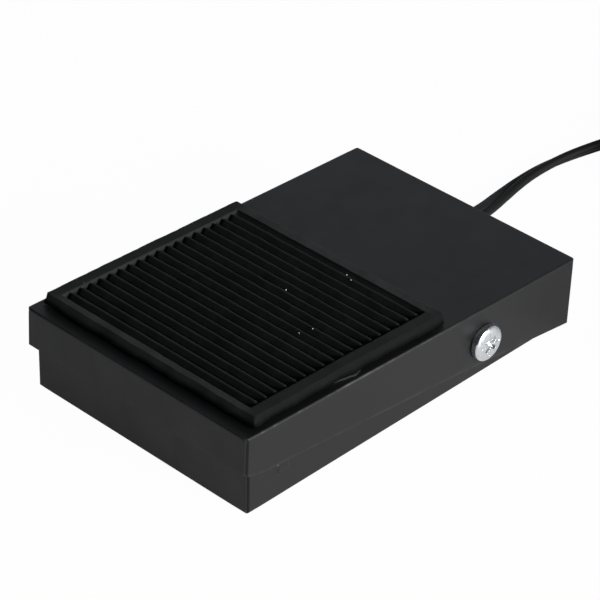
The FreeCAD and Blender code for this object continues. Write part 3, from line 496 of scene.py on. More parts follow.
mat_rubber = moulded_rubber(
    "mat_rubber",
    (0.0034, 0.0039, 0.0036),
    (0.0046, 0.0054, 0.0050),
    (0.60, 0.74),
    0.02,
    shine=MAT_SHINE,
    dusty=MAT_DUST,
)
foot_rubber = moulded_rubber("foot_rubber", grey(0.014), (0.024, 0.023, 0.022), (0.62, 0.80), 0.03)
grommet_rubber = moulded_rubber("grommet_rubber", grey(0.010), grey(0.015), (0.45, 0.60), 0.01)
tape_foam = moulded_rubber("tape", (0.010, 0.014, 0.013), (0.022, 0.028, 0.026), (0.55, 0.75), 0.06)
lead_sheath = moulded_rubber("lead_sheath", (0.0042, 0.0042, 0.0045), grey(0.0060), (0.54, 0.66), 0.006)
plug_moulding = moulded_rubber("plug_moulding", grey(0.009), grey(0.014), (0.38, 0.50), 0.01)
wire_red = moulded_rubber("wire_red", (0.42, 0.022, 0.018), (0.50, 0.035, 0.026), (0.35, 0.45), 0.004)
wire_black = moulded_rubber("wire_black", grey(0.012), grey(0.018), (0.35, 0.45), 0.004)

# %% [markdown]
# Metals differ by tint, by how even their shine is, and by the marks of how they were made. Zinc
# plate is bright and faintly blue, with a fine crystal mottle. Spring steel is drawn through a die
# and lightly oiled, plated brass has warmed with age, and hard plastics are the same recipe
# without the metal.

# %% Metals and hard plastics


def plated_metal(name, tint, deep, low_gloss, high_gloss, mottle=0.8):
    finish, tree, shader = new_finish(name, tint, low_gloss)
    shader.inputs["Metallic"].default_value = 1.0
    tree.links.new(mixed(tree, grain(tree, mottle * 2), deep, tint), shader.inputs["Base Color"])
    gloss = between(tree, grain(tree, mottle, seed=3.0), low_gloss, high_gloss)
    tree.links.new(gloss, shader.inputs["Roughness"])
    bumps(tree, shader, [(grain(tree, mottle, detail=2.0, seed=6.0), 0.004)])
    return finish


def hard_plastic(name, colour, pale, low_gloss=0.3, high_gloss=0.45):
    finish, tree, shader = new_finish(name, colour, low_gloss)
    tree.links.new(mixed(tree, grain(tree, 4.0), colour, pale), shader.inputs["Base Color"])
    gloss = between(tree, grain(tree, 1.5, seed=2.0), low_gloss, high_gloss)
    tree.links.new(gloss, shader.inputs["Roughness"])
    bumps(tree, shader, [(grain(tree, 0.25, detail=1.0), 0.003)])
    return finish


screw_zinc = plated_metal("screw_zinc", (0.86, 0.88, 0.90), (0.74, 0.77, 0.80), 0.22, 0.36)
nut_zinc = plated_metal("nut_zinc", (0.70, 0.72, 0.74), (0.58, 0.60, 0.63), 0.28, 0.42)
spring_steel = plated_metal("spring_steel", (0.42, 0.42, 0.43), (0.30, 0.30, 0.31), 0.22, 0.34, 0.4)
sheet_steel = plated_metal("sheet_steel", (0.55, 0.56, 0.57), (0.42, 0.43, 0.44), 0.30, 0.46, 1.5)
contact_bronze = plated_metal("blade_bronze", (0.62, 0.40, 0.22), (0.50, 0.31, 0.16), 0.22, 0.34, 0.6)
contact_brass = plated_metal("terminal_brass", (0.74, 0.56, 0.25), (0.62, 0.45, 0.18), 0.22, 0.36, 0.6)
plug_metal = plated_metal("plug_metal", (0.72, 0.71, 0.69), (0.62, 0.61, 0.59), 0.12, 0.2, 0.9)
case_black = hard_plastic("switch_case_plastic", (0.014, 0.014, 0.015), (0.020, 0.020, 0.021))
lid_grey = hard_plastic("switch_lid_plastic", (0.045, 0.045, 0.047), (0.060, 0.060, 0.062))
plunger_red = hard_plastic("plunger_plastic", (0.36, 0.030, 0.022), (0.44, 0.045, 0.030))
peg_nylon = hard_plastic("peg_plastic", (0.55, 0.54, 0.50), (0.63, 0.62, 0.58))
ring_black = hard_plastic("plug_ring", (0.012, 0.012, 0.012), (0.018, 0.018, 0.018), 0.25, 0.35)
print("finishes:", len(bpy.data.materials))

# %% [markdown]
# ## Folded sheet metal
#
# The lid and the tray are boxes folded from one millimetre sheet and left open on one side. Such a
# box could be a cube with a Solidify modifier, but the walls have holes, a notch and a skirt that
# is cut on a slant. So the outer face is drawn as walls on a net of lines, denser where a detail
# needs it. Then the inner face and the rims are added, and the bends and cut edges are rounded.
#
# No folded sheet is quite flat, so noise moves every point by a few hundredths of a millimetre.
# Blender's `noise_vector` gives other values in every run until a seed is set, so one is set first.

# %% Walls on a net of lines
HOLE_STEPS = 8


def net(low, high, step, needed=()):
    """Lines from low to high about a step apart, which pass through the needed places."""
    count = max(1, round((high - low) / step))
    lines = [low + (high - low) * index / count for index in range(1, count)]
    clear = [line for line in lines if all(abs(line - place) > step * 0.4 for place in needed)]
    return sorted({low, high, *clear, *needed})


def shared(shape, spots, spot):
    """The vertex at a place, made once and shared by every wall that meets there."""
    key = tuple(round(reach, 4) for reach in spot)
    if key not in spots:
        spots[key] = shape.verts.new(spot)
    return spots[key]


def faces_round_hole(shape, spots, sides, centre, radius):
    """Fills a four-sided cell but for a round hole, with one face along each side of the cell."""
    corners = [side[0].co for side in sides]
    level = (corners[1] - corners[0]).normalized()
    upward = (corners[1] - corners[0]).cross(corners[3] - corners[0]).normalized().cross(level)
    bearings = [math.atan2((co - centre).dot(upward), (co - centre).dot(level)) for co in corners]
    for number, side in enumerate(sides):
        turn = (bearings[(number + 1) % 4] - bearings[number]) % (2 * math.pi)
        arc = []
        for step in range(HOLE_STEPS + 1):
            angle = bearings[number] + turn * step / HOLE_STEPS
            rim = centre + (level * math.cos(angle) + upward * math.sin(angle)) * radius
            arc.append(shared(shape, spots, rim))
        shape.faces.new(side + arc[::-1])


def wall(shape, spots, columns, rows, spot_of, holes=(), gaps=()):
    """Faces on a net: spot_of places each crossing, and holes and gaps name the cells to open."""

    def at(column, row):
        return shared(shape, spots, spot_of(column, row))

    blocks = [hole[:4] for hole in holes] + list(gaps)
    for left, right in zip(columns, columns[1:]):
        for low, high in zip(rows, rows[1:]):
            across, up = (left + right) / 2, (low + high) / 2
            if not any(b[0] < across < b[1] and b[2] < up < b[3] for b in blocks):
                shape.faces.new((at(left, low), at(right, low), at(right, high), at(left, high)))
    for start, end, low, high, centre, radius in holes:
        along = [column for column in columns if start <= column <= end]
        upward = [row for row in rows if low <= row <= high]
        sides = [
            [at(column, low) for column in along],
            [at(end, row) for row in upward],
            [at(column, high) for column in reversed(along)],
            [at(start, row) for row in reversed(upward)],
        ]
        faces_round_hole(shape, spots, sides, Vector(centre), radius)


# %% Thickness, bends and a little unevenness
SHEET = 1.0
NEAR_WALL = 0.8
CUT_EDGE = 0.28
CORNER_SLIT = 0.7
NOISE_SEED = 5
noise.seed_set(NOISE_SEED)


def with_slit(spot, low, high):
    """Moves a place on an upright corner inwards, so that the two walls meet in a narrow slit."""
    at_corner = spot.x in (low.x, high.x) and spot.y in (low.y, high.y)
    inward = CORNER_SLIT if at_corner else 0.0
    return Vector((spot.x - math.copysign(inward, spot.x), spot.y - math.copysign(inward, spot.y), spot.z))


def thicken(shape, low, high, closed_side):
    """Adds the inner face of the sheet, and rims where the outer face ends."""

    def inward(spot):
        inner = spot.copy()
        for axis in range(2):
            if spot[axis] < low[axis] + NEAR_WALL:
                inner[axis] += SHEET
            if spot[axis] > high[axis] - NEAR_WALL:
                inner[axis] -= SHEET
        if abs(spot.z - closed_side) < NEAR_WALL:
            inner.z += math.copysign(SHEET, (low.z + high.z) / 2 - closed_side)
        return inner

    outer = list(shape.faces)
    border = [edge for edge in shape.edges if edge.is_boundary]
    inner = {vertex: shape.verts.new(inward(vertex.co)) for vertex in list(shape.verts)}
    for face in outer:
        shape.faces.new([inner[vertex] for vertex in reversed(face.verts)])
    for edge in border:
        first, second = edge.verts
        shape.faces.new((first, second, inner[second], inner[first]))
    bmesh.ops.recalc_face_normals(shape, faces=shape.faces)


def round_bends(shape, low, high, closed_side, radius, wear_and_highlight_at):
    """Rounds the outer bends, then the cut edges, and marks with an attribute where they wear and where a
    highlight is painted.
    """

    def planes(vertex):
        found = {axis for axis in range(2) if vertex.co[axis] in (low[axis], high[axis])}
        return found | ({2} if vertex.co.z == closed_side else set())

    for vertex in shape.verts:
        for axis in range(3):
            for limit in (low[axis], high[axis]):
                if abs(vertex.co[axis] - limit) < 1e-4:
                    vertex.co[axis] = limit
    soften(shape, radius, 4, lambda edge: len(planes(edge.verts[0]) & planes(edge.verts[1])) > 1)
    soften(shape, CUT_EDGE, 3, sharp)
    bend = shape.verts.layers.float.new("bend")
    wear = shape.verts.layers.float.new("wear")
    shape.normal_update()
    for vertex in shape.verts:
        across = max(abs(vertex.normal.x), abs(vertex.normal.y))
        vertex[bend] = (2 * across * abs(vertex.normal.z)) ** 2
        vertex[wear] = wear_and_highlight_at(vertex.co) * vertex[bend]


def warp(shape, height, size, seed):
    """Moves every vertex a little, as no folded sheet is quite flat."""
    for vertex in shape.verts:
        vertex.co += noise.noise_vector(vertex.co / size + Vector((seed, seed, seed))) * height


# %% [markdown]
# The lid has four skirts, deep at the rear and shallow at the front. The side skirts' lower edges
# were cut a little unevenly, so `EDGE_SAG` bends them as they look: they dip behind the front
# corner. Folded skirts are separate flaps, so where two meet at a corner a narrow slit stays open,
# and it looks like a dark line. A faint seam runs down the front and rear faces beside it.

# %% Lid
LID_BEND = 0.48
SEAM_IN = 1.5
SEAM_WIDE = 0.14
SEAM_DEEP = 0.06
EDGE_SAG = [(0.0, 0.0), (6.8, -0.85), (12.5, -0.62), (76.0, 0.28), (116.0, 0.0)]
NOTCH_MARGIN = 1.6
PIVOT_HOLE = 2.575
PIVOT_CELL = 5.0
PIVOT_ROWS = (0.28, 0.9)
LID_STEP = 3.6
SKIRT_ROWS = (0.0, 0.12, PIVOT_ROWS[0], 0.62, PIVOT_ROWS[1], 1.0)
NEAR_FRONT = 0.1
NEAR_SIDE = 1.0
NEAR_TOP = 2.0
END_WEAR = 0.1
# Along the sides the pale paint is raised towards the front: on the top bend and on the skirt's lower edge it
# is a painted highlight line as well as rubbed paint.
SIDE_WEAR_AND_HIGHLIGHT = [(0.0, 1.0), (30.0, 0.8), (50.0, 0.45), (66.0, 0.4), (80.0, 0.05), (116.0, 0.0)]
SKIRT_WEAR_AND_HIGHLIGHT = [(0.0, 0.9), (40.0, 1.0), (70.0, 1.0), (116.0, 0.7)]


def make_lid():
    shape, spots = bmesh.new(), {}
    half, top = lid_high.x, lid_high.z
    front, rear = lid_low.y, lid_high.y
    front_low = min(
        (LID_PLACE.inverted() @ vertex.co / MM).z
        for vertex in nodes["pedal_cover"].data.vertices
        if (LID_PLACE.inverted() @ vertex.co / MM).y < front + NEAR_FRONT
    )
    rear_low = lid_low.z
    notch_half = (grommet_high.x - grommet_low.x) / 2 + NOTCH_MARGIN
    notch_top = exit_place.z - PIVOT.z / MM + notch_half
    seams = [side * (half - SEAM_IN + shift) for side in (-1, 1) for shift in (-SEAM_WIDE, 0.0, SEAM_WIDE)]
    lips = [CORNER_SLIT - half, half - CORNER_SLIT]
    across = net(-half, half, LID_STEP, [*lips, *seams, exit_place.x - notch_half, exit_place.x + notch_half])
    lips = [front + CORNER_SLIT, rear - CORNER_SLIT]
    dips = [front + key[0] for key in EDGE_SAG[1:3]]
    along = net(front, rear, LID_STEP, [*lips, -PIVOT_CELL, PIVOT_CELL, *dips])
    notch_row = (top - notch_top) / (top - rear_low)
    rows = sorted({*SKIRT_ROWS, notch_row})

    def skirt_low(y):
        straight = front_low + (rear_low - front_low) * (y - front) / (rear - front)
        return straight + float(np.interp(y - front, *zip(*EDGE_SAG)))

    def on_skirt(x, y, low, row):
        spot = Vector((x, y, top + (low - top) * row))
        return with_slit(spot, lid_low, lid_high) if row > 0 else spot

    def end_spot(y, low):
        def spot(x, row):
            seam = SEAM_DEEP if row > 0 and abs(abs(x) - (half - SEAM_IN)) < 0.01 else 0.0
            return on_skirt(x, y, low, row) + Vector((0.0, math.copysign(seam, -y), 0.0))

        return spot

    def side_spot(x):
        return lambda y, row: on_skirt(x, y, skirt_low(y), row)

    pivot_hole = (-PIVOT_CELL, PIVOT_CELL, *PIVOT_ROWS)
    notch = (exit_place.x - notch_half, exit_place.x + notch_half, notch_row, 1.0)
    wall(shape, spots, across, along, lambda x, y: Vector((x, y, top)))
    wall(shape, spots, across, rows, end_spot(front, front_low))
    wall(shape, spots, across, rows, end_spot(rear, rear_low), gaps=[notch])
    for x in (-half, half):
        wall(shape, spots, along, rows, side_spot(x), holes=[(*pivot_hole, (x, 0.0, 0.0), PIVOT_HOLE)])
    bmesh.ops.recalc_face_normals(shape, faces=shape.faces)
    thicken(shape, lid_low, lid_high, top)

    # How much pale paint each place gets: rubbed paint on the ends, and along the sides a painted highlight
    # with the wear.
    def wear_and_highlight_at(spot):
        if abs(spot.x) < half - NEAR_SIDE:
            return END_WEAR
        keys = SIDE_WEAR_AND_HIGHLIGHT if spot.z > top - NEAR_TOP else SKIRT_WEAR_AND_HIGHLIGHT
        return float(np.interp(spot.y - front, *zip(*keys)))

    round_bends(shape, lid_low, lid_high, top, LID_BEND, wear_and_highlight_at)
    warp(shape, height=0.05, size=34.0, seed=3.0)
    return shade(new_piece("cover_shell", shape, LID_PLACE))


cover_shell = make_lid()
cover_shell.data.materials.append(cover_paint)
print("cover_shell:", len(cover_shell.data.polygons), "faces")

# %% [markdown]
# The tray is the same kind of box the other way up. Its walls have holes for the two screws and for
# the lead, and near the front a small pressed nib on each side keeps the lid's skirts off the
# paint. A nib is its own little raised patch, let into the wall by a hair.

# %% Tray
TRAY_BEND = 0.42
TRAY_FOLD = 1.3
TRAY_STEP = 4.5
TRAY_WEAR = 0.15
SCREW_HOLE = 2.55
OUTLET_HOLE = 3.55
NIB_PLACE = (-44.4, 9.2)
NIB_SIZE = (4.0, 2.8)
NIB_PROUD = 0.24
NIB_LET_IN = 0.05
NIB_SLOPE = [(1.0, -NIB_LET_IN), (1.0, 0.0), (0.86, NIB_PROUD * 0.8), (0.7, NIB_PROUD)]


def raised_nib(shape, side):
    """A small patch with sloping sides on the wall, longer than it is wide."""
    y, z = NIB_PLACE
    face = side * tray_high.x
    rings = []
    for share, proud in NIB_SLOPE:
        half_y, half_z = NIB_SIZE[0] / 2 * share, NIB_SIZE[1] / 2 * share
        corners = ((-half_y, -half_z), (half_y, -half_z), (half_y, half_z), (-half_y, half_z))
        rings.append([shape.verts.new((face + side * proud, y + a, z + b)) for a, b in corners])
    join_rings(shape, rings)
    shape.faces.new(rings[0])
    shape.faces.new(rings[-1])


def make_tray():
    shape, spots = bmesh.new(), {}
    half, low, top = tray_high.x, tray_low.z, tray_high.z
    front, rear = tray_low.y, tray_high.y
    pivot_y, pivot_z = PIVOT.y / MM, PIVOT.z / MM
    exit_x, exit_z = exit_place.x, exit_place.z
    cell = PIVOT_CELL
    slit = CORNER_SLIT
    across = net(-half, half, TRAY_STEP, [slit - half, half - slit, exit_x - cell, exit_x + cell])
    along = net(front, rear, TRAY_STEP, [front + slit, rear - slit, pivot_y - cell, pivot_y + cell])
    needed = [low + TRAY_FOLD, pivot_z - cell + 1, pivot_z + cell, exit_z - cell, exit_z + cell]
    rows = net(low, top, TRAY_STEP, needed)
    outlet = (exit_x - cell, exit_x + cell, exit_z - cell, exit_z + cell, (exit_x, rear, exit_z), OUTLET_HOLE)

    def on_wall(x, y, z):
        spot = Vector((x, y, z))
        return with_slit(spot, tray_low, tray_high) if z > low else spot

    wall(shape, spots, across, along, lambda x, y: Vector((x, y, low)))
    wall(shape, spots, across, rows, lambda x, z: on_wall(x, front, z))
    wall(shape, spots, across, rows, lambda x, z: on_wall(x, rear, z), holes=[outlet])
    for x in (-half, half):
        centre = (x, pivot_y, pivot_z)
        hole = (pivot_y - cell, pivot_y + cell, pivot_z - cell + 1, pivot_z + cell, centre, SCREW_HOLE)
        wall(shape, spots, along, rows, lambda y, z, x=x: on_wall(x, y, z), holes=[hole])
    bmesh.ops.recalc_face_normals(shape, faces=shape.faces)
    thicken(shape, tray_low, tray_high, low)
    round_bends(shape, tray_low, tray_high, low, TRAY_BEND, lambda spot: TRAY_WEAR)
    warp(shape, height=0.04, size=30.0, seed=11.0)
    for side in (-1, 1):
        raised_nib(shape, side)
    bmesh.ops.recalc_face_normals(shape, faces=shape.faces)
    return shade(new_piece("tray_shell", shape))


tray_shell = make_tray()
tray_shell.data.materials.append(tray_paint)
print("tray_shell:", len(tray_shell.data.polygons), "faces")

# %% [markdown]
# ## The mat
#
# The mat is moulded rubber: a smooth border round a sunk field of eighteen narrow ribs. The border
# is a stack of rings with the same number of points each, so that faces can be drawn between them:
# underside, foot and middle of the sloping side, outer edge, a narrow flat inside it, another flat
# before the inner edge, the inner edge itself and the sunk floor. Its cut edge wavers a little, and
# near the middle of the right side it has come unstuck and stands up by 0.3 millimetres.

# %% Border of the mat
MAT_BORDER_SIDE = 3.25
MAT_BORDER_FRONT = 2.1
MAT_BORDER_REAR = 2.9
MAT_GROOVE = 1.8
MAT_FLARE = 0.55
MAT_CORNER = 0.6
MAT_EDGE = 0.1
MAT_FLAT = 0.3
UNDERSIDE_IN = 5.5
FIELD_CORNER = 0.35
RING_SIDE_STEPS = 56
RING_CORNER_STEPS = 5
EDGE_WAVER = 0.12
RING_WAVER = [(1, 2.2), (2, 1.4), (3, 1.0), (4, 1.0), (5, 0.5), (6, 0.5)]
FINE_NOISE = 0.9
COARSE_NOISE = 0.17
COARSE_SHARE = 1.5
LIFT_HEIGHT = 0.3
LIFT_MIDDLE = -44.0
LIFT_REACH = 24.0
LIFT_START = 29.5
FIELD_DUST = 0.6
CREST_DUST = 0.45
FRONT_DUST = 0.9
REAR_DUST = 1.0
SIDE_DUST = 0.45


def ring_spots(low, high, corner, z):
    """Places round a rectangle with round corners, as many for every size."""
    turns = []
    for number, (x, y) in enumerate(((1, -1), (1, 1), (-1, 1), (-1, -1))):
        centre_x = high[0] - corner if x > 0 else low[0] + corner
        centre_y = high[1] - corner if y > 0 else low[1] + corner
        centre = Vector((centre_x, centre_y))
        start = (number - 1) * math.pi / 2
        for step in range(RING_CORNER_STEPS + 1):
            angle = start + math.pi / 2 * step / RING_CORNER_STEPS
            turns.append(centre + Vector((math.cos(angle), math.sin(angle))) * corner)
    spots = []
    for index, spot in enumerate(turns):
        spots.append(spot)
        if (index + 1) % (RING_CORNER_STEPS + 1) == 0:
            following = turns[(index + 1) % len(turns)]
            spots += [spot.lerp(following, step / RING_SIDE_STEPS) for step in range(1, RING_SIDE_STEPS)]
    return [Vector((spot.x, spot.y, z)) for spot in spots]


def eased(share):
    share = min(max(share, 0.0), 1.0)
    return share * share * (3 - 2 * share)


def mat_lift(spot):
    """How far the right border stands up, in millimetres."""
    outward = eased((spot.x - LIFT_START) / (mat_high.x - LIFT_START))
    along = eased(1 - abs(spot.y - LIFT_MIDDLE) / LIFT_REACH)
    return LIFT_HEIGHT * outward * along


def stack_of_rings(shape, stack):
    """Faces between rings of places, with a flat face closing each end."""
    rings = [[shape.verts.new(spot) for spot in ring] for ring in stack]
    join_rings(shape, rings)
    shape.faces.new(rings[0][::-1])
    shape.faces.new(rings[-1])


def grown(low, high, margin):
    return (low[0] - margin, low[1] - margin), (high[0] + margin, high[1] + margin)


def make_mat_border():
    shape = bmesh.new()
    low, high = mat_low.xy, mat_high.xy
    field_low = (low[0] + MAT_BORDER_SIDE, low[1] + MAT_BORDER_FRONT)
    field_high = (high[0] - MAT_BORDER_SIDE, high[1] - MAT_BORDER_REAR)
    bottom, top = mat_low.z, mat_high.z
    stack = [
        ring_spots(*grown(low, high, -UNDERSIDE_IN), MAT_CORNER, bottom),
        ring_spots(*grown(low, high, MAT_FLARE), MAT_CORNER, bottom),
        ring_spots(*grown(low, high, MAT_FLARE * 0.4), MAT_CORNER, (bottom + top) / 2),
        ring_spots(low, high, MAT_CORNER, top),
        ring_spots(*grown(low, high, -MAT_FLAT), MAT_CORNER, top),
        ring_spots(*grown(field_low, field_high, MAT_FLAT), FIELD_CORNER, top),
        ring_spots(field_low, field_high, FIELD_CORNER, top),
        ring_spots(field_low, field_high, FIELD_CORNER, top - MAT_GROOVE),
    ]
    for number, amount in RING_WAVER:
        for spot in stack[number]:
            fine = noise.noise_vector(spot * FINE_NOISE)
            waver = fine + noise.noise_vector(spot * COARSE_NOISE) * COARSE_SHARE
            spot.x += waver.x * EDGE_WAVER * amount
            spot.y += waver.y * EDGE_WAVER * amount
    for ring in stack:
        for spot in ring:
            spot.z += mat_lift(spot)
    stack_of_rings(shape, stack)
    soften(shape, MAT_EDGE, 2, lambda edge: sharp(edge, math.radians(50)))
    dust = shape.verts.layers.float.new("dust")
    for vertex in shape.verts:
        from_side = high.x - abs(vertex.co.x)
        if from_side < MAT_FLAT / 2:
            continue
        in_field = field_low[1] - MAT_EDGE < vertex.co.y < field_high[1] + MAT_EDGE
        settled = SIDE_DUST
        if in_field and vertex.co.z < top - MAT_GROOVE / 2:
            settled = FIELD_DUST
        elif not in_field:
            end_dust = FRONT_DUST if vertex.co.y < field_low[1] else REAR_DUST
            settled += (end_dust - SIDE_DUST) * eased(from_side / MAT_BORDER_SIDE / 2)
        vertex[dust] = settled
    return new_piece("tread_rubber", shape)


tread_rubber = make_mat_border()

# %% [markdown]
# The ribs repeat, so Geometry Nodes make them. A straight curve with a narrow trapezoid swept along
# it is one rib. The sweep turns the profile over, so its bottom width is the rib's crest. The rib
# is set on a line of points, one for each rib, and made real. Then each point moves a little by
# noise, because moulded ribs are never quite straight, and the ribs' ends are pressed down. A
# tree's inputs are set by their identifiers, which `grow` looks up by name.

# %% Tools for node trees


def new_tree(name, inputs):
    """A Geometry Nodes tree with a geometry in, a geometry out, and named inputs."""
    tree = bpy.data.node_groups.new(name, "GeometryNodeTree")
    tree.interface.new_socket("Geometry", in_out="INPUT", socket_type="NodeSocketGeometry")
    for label, kind in inputs:
        tree.interface.new_socket(label, in_out="INPUT", socket_type="NodeSocket" + kind)
    tree.interface.new_socket("Geometry", in_out="OUTPUT", socket_type="NodeSocketGeometry")
    return tree, tree.nodes.new("NodeGroupInput").outputs, tree.nodes.new("NodeGroupOutput").inputs


def step_in(tree, kind, values=None, **settings):
    """A node with its settings, and its inputs set to values or linked to sockets."""
    node = tree.nodes.new(kind)
    for name, setting in settings.items():
        setattr(node, name, setting)
    for name, given in (values or {}).items():
        socket = node.inputs[name]
        if isinstance(given, bpy.types.NodeSocket):
            tree.links.new(given, socket)
        else:
            socket.default_value = given
    return node


def calculate(tree, operation, first, second=0.0):
    node = step_in(tree, "ShaderNodeMath", {0: first, 1: second}, operation=operation)
    return node.outputs["Value"]


def grow(piece, tree, settings):
    """Runs a tree on a piece, with its inputs set by their identifiers, and settles the result."""
    modifier = piece.modifiers.new(tree.name, "NODES")
    modifier.node_group = tree
    inputs = [item for item in tree.interface.items_tree if item.in_out == "INPUT"]
    identifiers = {item.name: item.identifier for item in inputs}
    for label, setting in settings.items():
        modifier[identifiers[label]] = setting
    return settle(piece)


# %% Ribs of the mat
RIB_COUNT = 18
RIB_PITCH = 3.2
RIB_FIRST = 4.8
RIB_FOOT = 2.6
RIB_CREST = 0.6
RIB_DROP = 0.1
RIB_STEPS = 130
RIB_WAVER = 0.22
RIB_RIPPLE = 0.08
RIB_NOISE = 210.0
RIB_FILLET = 0.45
RIB_GAP = 0.1
RIB_END = 0.9
RIB_END_PRESS = 0.45


def rib_tree():
    tree, given, result = new_tree(
        "Ribbed field",
        [
            ("Ribs", "Int"),
            ("Pitch", "Float"),
            ("First", "Float"),
            ("Floor", "Float"),
            ("Length", "Float"),
            ("Height", "Float"),
            ("Foot", "Float"),
            ("Crest", "Float"),
            ("Waver", "Float"),
            ("Ripple", "Float"),
            ("Foot Dust", "Float"),
            ("Crest Dust", "Float"),
            ("Rubber", "Material"),
        ],
    )
    half = calculate(tree, "MULTIPLY", given["Length"], 0.5)
    start = step_in(tree, "ShaderNodeCombineXYZ", {"X": calculate(tree, "MULTIPLY", half, -1.0)})
    end = step_in(tree, "ShaderNodeCombineXYZ", {"X": half})
    line = step_in(tree, "GeometryNodeCurvePrimitiveLine", {"Start": start.outputs[0], "End": end.outputs[0]})
    many = step_in(tree, "GeometryNodeResampleCurve", {"Curve": line.outputs[0], "Count": RIB_STEPS})
    profile = step_in(
        tree,
        "GeometryNodeCurvePrimitiveQuadrilateral",
        {
            "Height": given["Height"],
            "Bottom Width": given["Crest"],
            "Top Width": given["Foot"],
            "Offset": 0.0,
        },
        mode="TRAPEZOID",
    )
    fillet = calculate(tree, "MULTIPLY", given["Crest"], RIB_FILLET)
    rounded = step_in(
        tree,
        "GeometryNodeFilletCurve",
        {"Curve": profile.outputs[0], "Radius": fillet, "Count": 3},
        mode="POLY",
    )
    rib = step_in(
        tree,
        "GeometryNodeCurveToMesh",
        {"Curve": many.outputs[0], "Profile Curve": rounded.outputs[0], "Fill Caps": True},
    )
    first = step_in(tree, "ShaderNodeCombineXYZ", {"Y": given["First"], "Z": given["Floor"]})
    apart = step_in(tree, "ShaderNodeCombineXYZ", {"Y": given["Pitch"]})
    places = step_in(
        tree,
        "GeometryNodeMeshLine",
        {"Count": given["Ribs"], "Start Location": first.outputs[0], "Offset": apart.outputs[0]},
    )
    lifted = step_in(tree, "ShaderNodeCombineXYZ", {"Z": calculate(tree, "MULTIPLY", given["Height"], 0.5)})
    upright_rib = step_in(
        tree, "GeometryNodeTransform", {"Geometry": rib.outputs[0], "Translation": lifted.outputs[0]}
    )
    standing = step_in(
        tree,
        "GeometryNodeInstanceOnPoints",
        {"Points": places.outputs[0], "Instance": upright_rib.outputs[0]},
    )
    real = step_in(tree, "GeometryNodeRealizeInstances", {"Geometry": standing.outputs[0]})

    spot = step_in(tree, "GeometryNodeInputPosition").outputs[0]
    apart_axes = step_in(tree, "ShaderNodeSeparateXYZ", {"Vector": spot})
    shifts = []
    for seed, amount in ((0.0, given["Waver"]), (9.0, given["Ripple"])):
        wave = step_in(
            tree,
            "ShaderNodeTexNoise",
            {"Vector": spot, "W": seed, "Scale": RIB_NOISE, "Detail": 2.0},
            noise_dimensions="4D",
        )
        centred = calculate(tree, "SUBTRACT", wave.outputs[0], 0.5)
        shifts.append(calculate(tree, "MULTIPLY", centred, calculate(tree, "MULTIPLY", amount, 2.0)))
    above = calculate(tree, "SUBTRACT", apart_axes.outputs["Z"], given["Floor"])
    share_up = calculate(tree, "DIVIDE", above, given["Height"])
    from_end = calculate(tree, "SUBTRACT", half, calculate(tree, "ABSOLUTE", apart_axes.outputs["X"]))
    press = step_in(
        tree,
        "ShaderNodeMapRange",
        {
            "Value": from_end,
            "From Min": 0.0,
            "From Max": RIB_END * MM,
            "To Min": -RIB_END_PRESS,
            "To Max": 0.0,
        },
        interpolation_type="SMOOTHSTEP",
    )
    down = calculate(tree, "MULTIPLY", press.outputs[0], above)
    ripple = calculate(tree, "MULTIPLY", shifts[1], share_up)
    moved = step_in(
        tree,
        "ShaderNodeCombineXYZ",
        {"Y": calculate(tree, "MULTIPLY", shifts[0], share_up), "Z": calculate(tree, "ADD", down, ripple)},
    )
    wavering = step_in(
        tree, "GeometryNodeSetPosition", {"Geometry": real.outputs[0], "Offset": moved.outputs[0]}
    )
    settled = step_in(
        tree,
        "ShaderNodeMapRange",
        {"Value": share_up, "To Min": given["Foot Dust"], "To Max": given["Crest Dust"]},
    )
    dusty = step_in(
        tree,
        "GeometryNodeStoreNamedAttribute",
        {"Geometry": wavering.outputs[0], "Name": "dust", "Value": settled.outputs[0]},
        data_type="FLOAT",
        domain="POINT",
    )
    both = step_in(tree, "GeometryNodeJoinGeometry")
    tree.links.new(given["Geometry"], both.inputs[0])
    tree.links.new(dusty.outputs[0], both.inputs[0])
    finished = step_in(
        tree, "GeometryNodeSetMaterial", {"Geometry": both.outputs[0], "Material": given["Rubber"]}
    )
    tree.links.new(finished.outputs[0], result[0])
    return tree


grow(
    tread_rubber,
    rib_tree(),
    {
        "Ribs": RIB_COUNT,
        "Pitch": RIB_PITCH * MM,
        "First": (mat_low.y + RIB_FIRST) * MM,
        "Floor": (mat_high.z - MAT_GROOVE) * MM,
        "Length": (mat_high.x - mat_low.x - 2 * MAT_BORDER_SIDE - RIB_GAP) * MM,
        "Height": (MAT_GROOVE - RIB_DROP) * MM,
        "Foot": RIB_FOOT * MM,
        "Crest": RIB_CREST * MM,
        "Waver": RIB_WAVER * MM,
        "Ripple": RIB_RIPPLE * MM,
        "Foot Dust": FIELD_DUST,
        "Crest Dust": CREST_DUST,
        "Rubber": mat_rubber,
    },
)
tread_rubber.data.transform(LID_PLACE)
shade(tread_rubber)
print("tread_rubber:", len(tread_rubber.data.polygons), "faces, materials", tread_rubber.data.materials[:])

# %% [markdown]
# Under the mat lies its adhesive tape, cut by hand a little smaller. Where the mat has come unstuck,
# a tongue of the tape still sticks out over the lid. The tape is one outline, drawn as a
# polygon whose edge wavers, and given its thickness. A few flecks of white lint lie on the ribs.

# %% Tape and lint
TAPE_WAVER = 0.22
TAPE_STEPS = 80
TONGUE = [(-53.8, 0.0), (-51.0, 1.3), (-47.4, 2.0), (-44.6, 2.5), (-42.2, 1.9), (-40.6, 0.0)]
LINT_PLACES = [
    (7.65, -17.96),
    (9.89, -18.88),
    (17.75, -45.05),
    (18.71, -41.44),
    (2.46, -33.83),
    (-32.5, -67.83),
]
LINT_SIZE = 0.16


